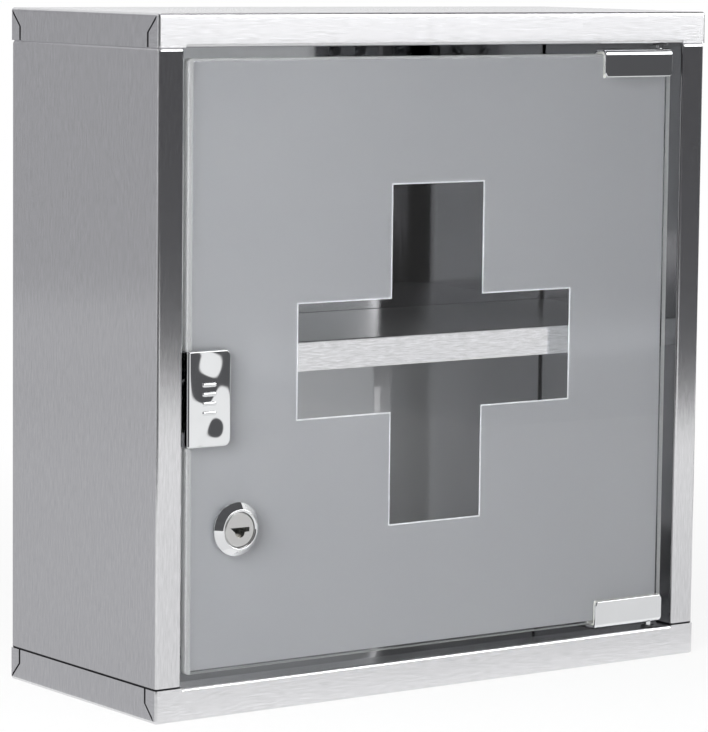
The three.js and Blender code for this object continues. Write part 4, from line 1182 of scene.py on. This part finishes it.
# Outline seen from above, height, tone, and the fade that make_card explains, in metres
LEVEL_CARDS = {
    "dark_far_floor": (
        ((-2.6, -6.0), (6.0, -6.0), (6.0, 0.6), (-2.6, 0.6)), 0.0002, CARD_DARK,
        ((-1.5, -0.4, 0), 2.09, 2.14)),
    "dark_camera_floor": (
        ((-0.75, -0.15), (-0.25, -0.75), (-1.0, -3.6), (-3.4, -0.9)), 0.0004, CARD_DARK,
        ((-0.15, -0.06, 0), 0.6, 0.66)),
    "grey_near_floor": (
        ((-0.6, -0.8), (1.2, -0.72), (1.2, -0.08), (-0.6, -0.08)), 0.0006, CARD_LIGHT,
        ((0.25, 0, 0), 0.8, 0.1)),
    "grey_left_floor": (
        ((-0.152, -0.06), (-0.152, 2.0), (-3.0, 2.0), (-3.0, -0.06)), 0.0003, CARD_PALE, None),
    "dim_ceiling": (
        ((-3.4, -3.6), (2.8, -3.6), (2.8, 1.5), (-3.4, 1.5)), 3, CARD_DARK, None),
}
# Both ends of the foot, height above the floor and tone
WALL_CARDS = {
    "dark_wall_left": ((-3.4, -0.9), (-1.0, -3.6), 3.0, CARD_DARK),
    "dark_wall_middle": ((-1.0, -3.6), (2.6, -3.9), 0.7, CARD_DARK),
    "dark_wall_right": ((2.6, -3.9), (4.2, -0.5), 0.7, CARD_DARK),
    "grey_left_wall": ((-3.0, 0.2), (-0.5, 2.0), 1.1, CARD_GREY),
}
FRONT_CARD = ((0.4, -2.4, 0.46), (2.2, -1.2, 0.46), (1.9, -1.0, 1.5), (0.3, -2.0, 1.5))
FRONT_CARD_GLOW = 4.4


def make_card(name, corners, tone, strength=1.0, fade=None):
    """A studio card that only mirrors see.

    fade is a point with two distances from it, between which the card goes from white to its own tone.
    """
    material, tree = bare_material(name)
    place = coordinates(tree)
    if fade:
        centre, start, end = fade
        share = span(tree, distance_from(tree, place, centre), 0, 1, start, end)
        colour = ramp(tree, share, CARD_WHITE, tone, 0, 1)
    else:
        colour = ramp(tree, noise(tree, place, 1.5, detail=2.0), scaled(tone, 0.9), tone)
    glow = tree.nodes.new("ShaderNodeEmission")
    glow.inputs["Strength"].default_value = strength
    tree.links.new(colour, glow.inputs["Color"])
    clear = tree.nodes.new("ShaderNodeBsdfTransparent")
    show(tree, mix_shaders(tree, shown_rays(tree), clear.outputs["BSDF"], glow.outputs["Emission"]))
    card = stage_plane(name, corners, material)
    card.visible_camera = False
    card.visible_diffuse = False
    card.visible_transmission = False
    card.visible_shadow = False


def make_studio():
    """Pale floor, soft lamps, and the cards that the steel mirrors."""
    make_floor()
    for name, settings in LAMPS.items():
        make_lamp(name, *settings)
    for name, (outline, height, tone, fade) in LEVEL_CARDS.items():
        make_card(name, [(*corner, height) for corner in outline], tone, fade=fade)
    for name, (first, last, height, tone) in WALL_CARDS.items():
        make_card(name, [(*first, 0), (*last, 0), (*last, height), (*first, height)], tone)
    make_card("white_front_card", FRONT_CARD, CARD_WHITE, FRONT_CARD_GLOW)


def main():
    """Dresses the CAD nodes, makes the new pieces and sets up the studio."""
    scene = bpy.context.scene
    scene.view_settings.view_transform = "Standard"
    make_camera()
    make_world()
    dress_cad_nodes()
    make_side_panel("left_side_panel_sheet", -1)
    make_side_panel("right_side_panel_sheet", 1)
    make_cap("top_cap_sheet", True)
    make_cap("bottom_cap_sheet", False)
    make_shelf()
    for end in ("top", "bottom"):
        make_hinge_clip(end)
        make_pin(end)
    make_push_plate()
    make_plate_bars()
    make_lock_barrel()
    make_latch_spring()
    make_studio()


main()

bpy.context.view_layer.update()
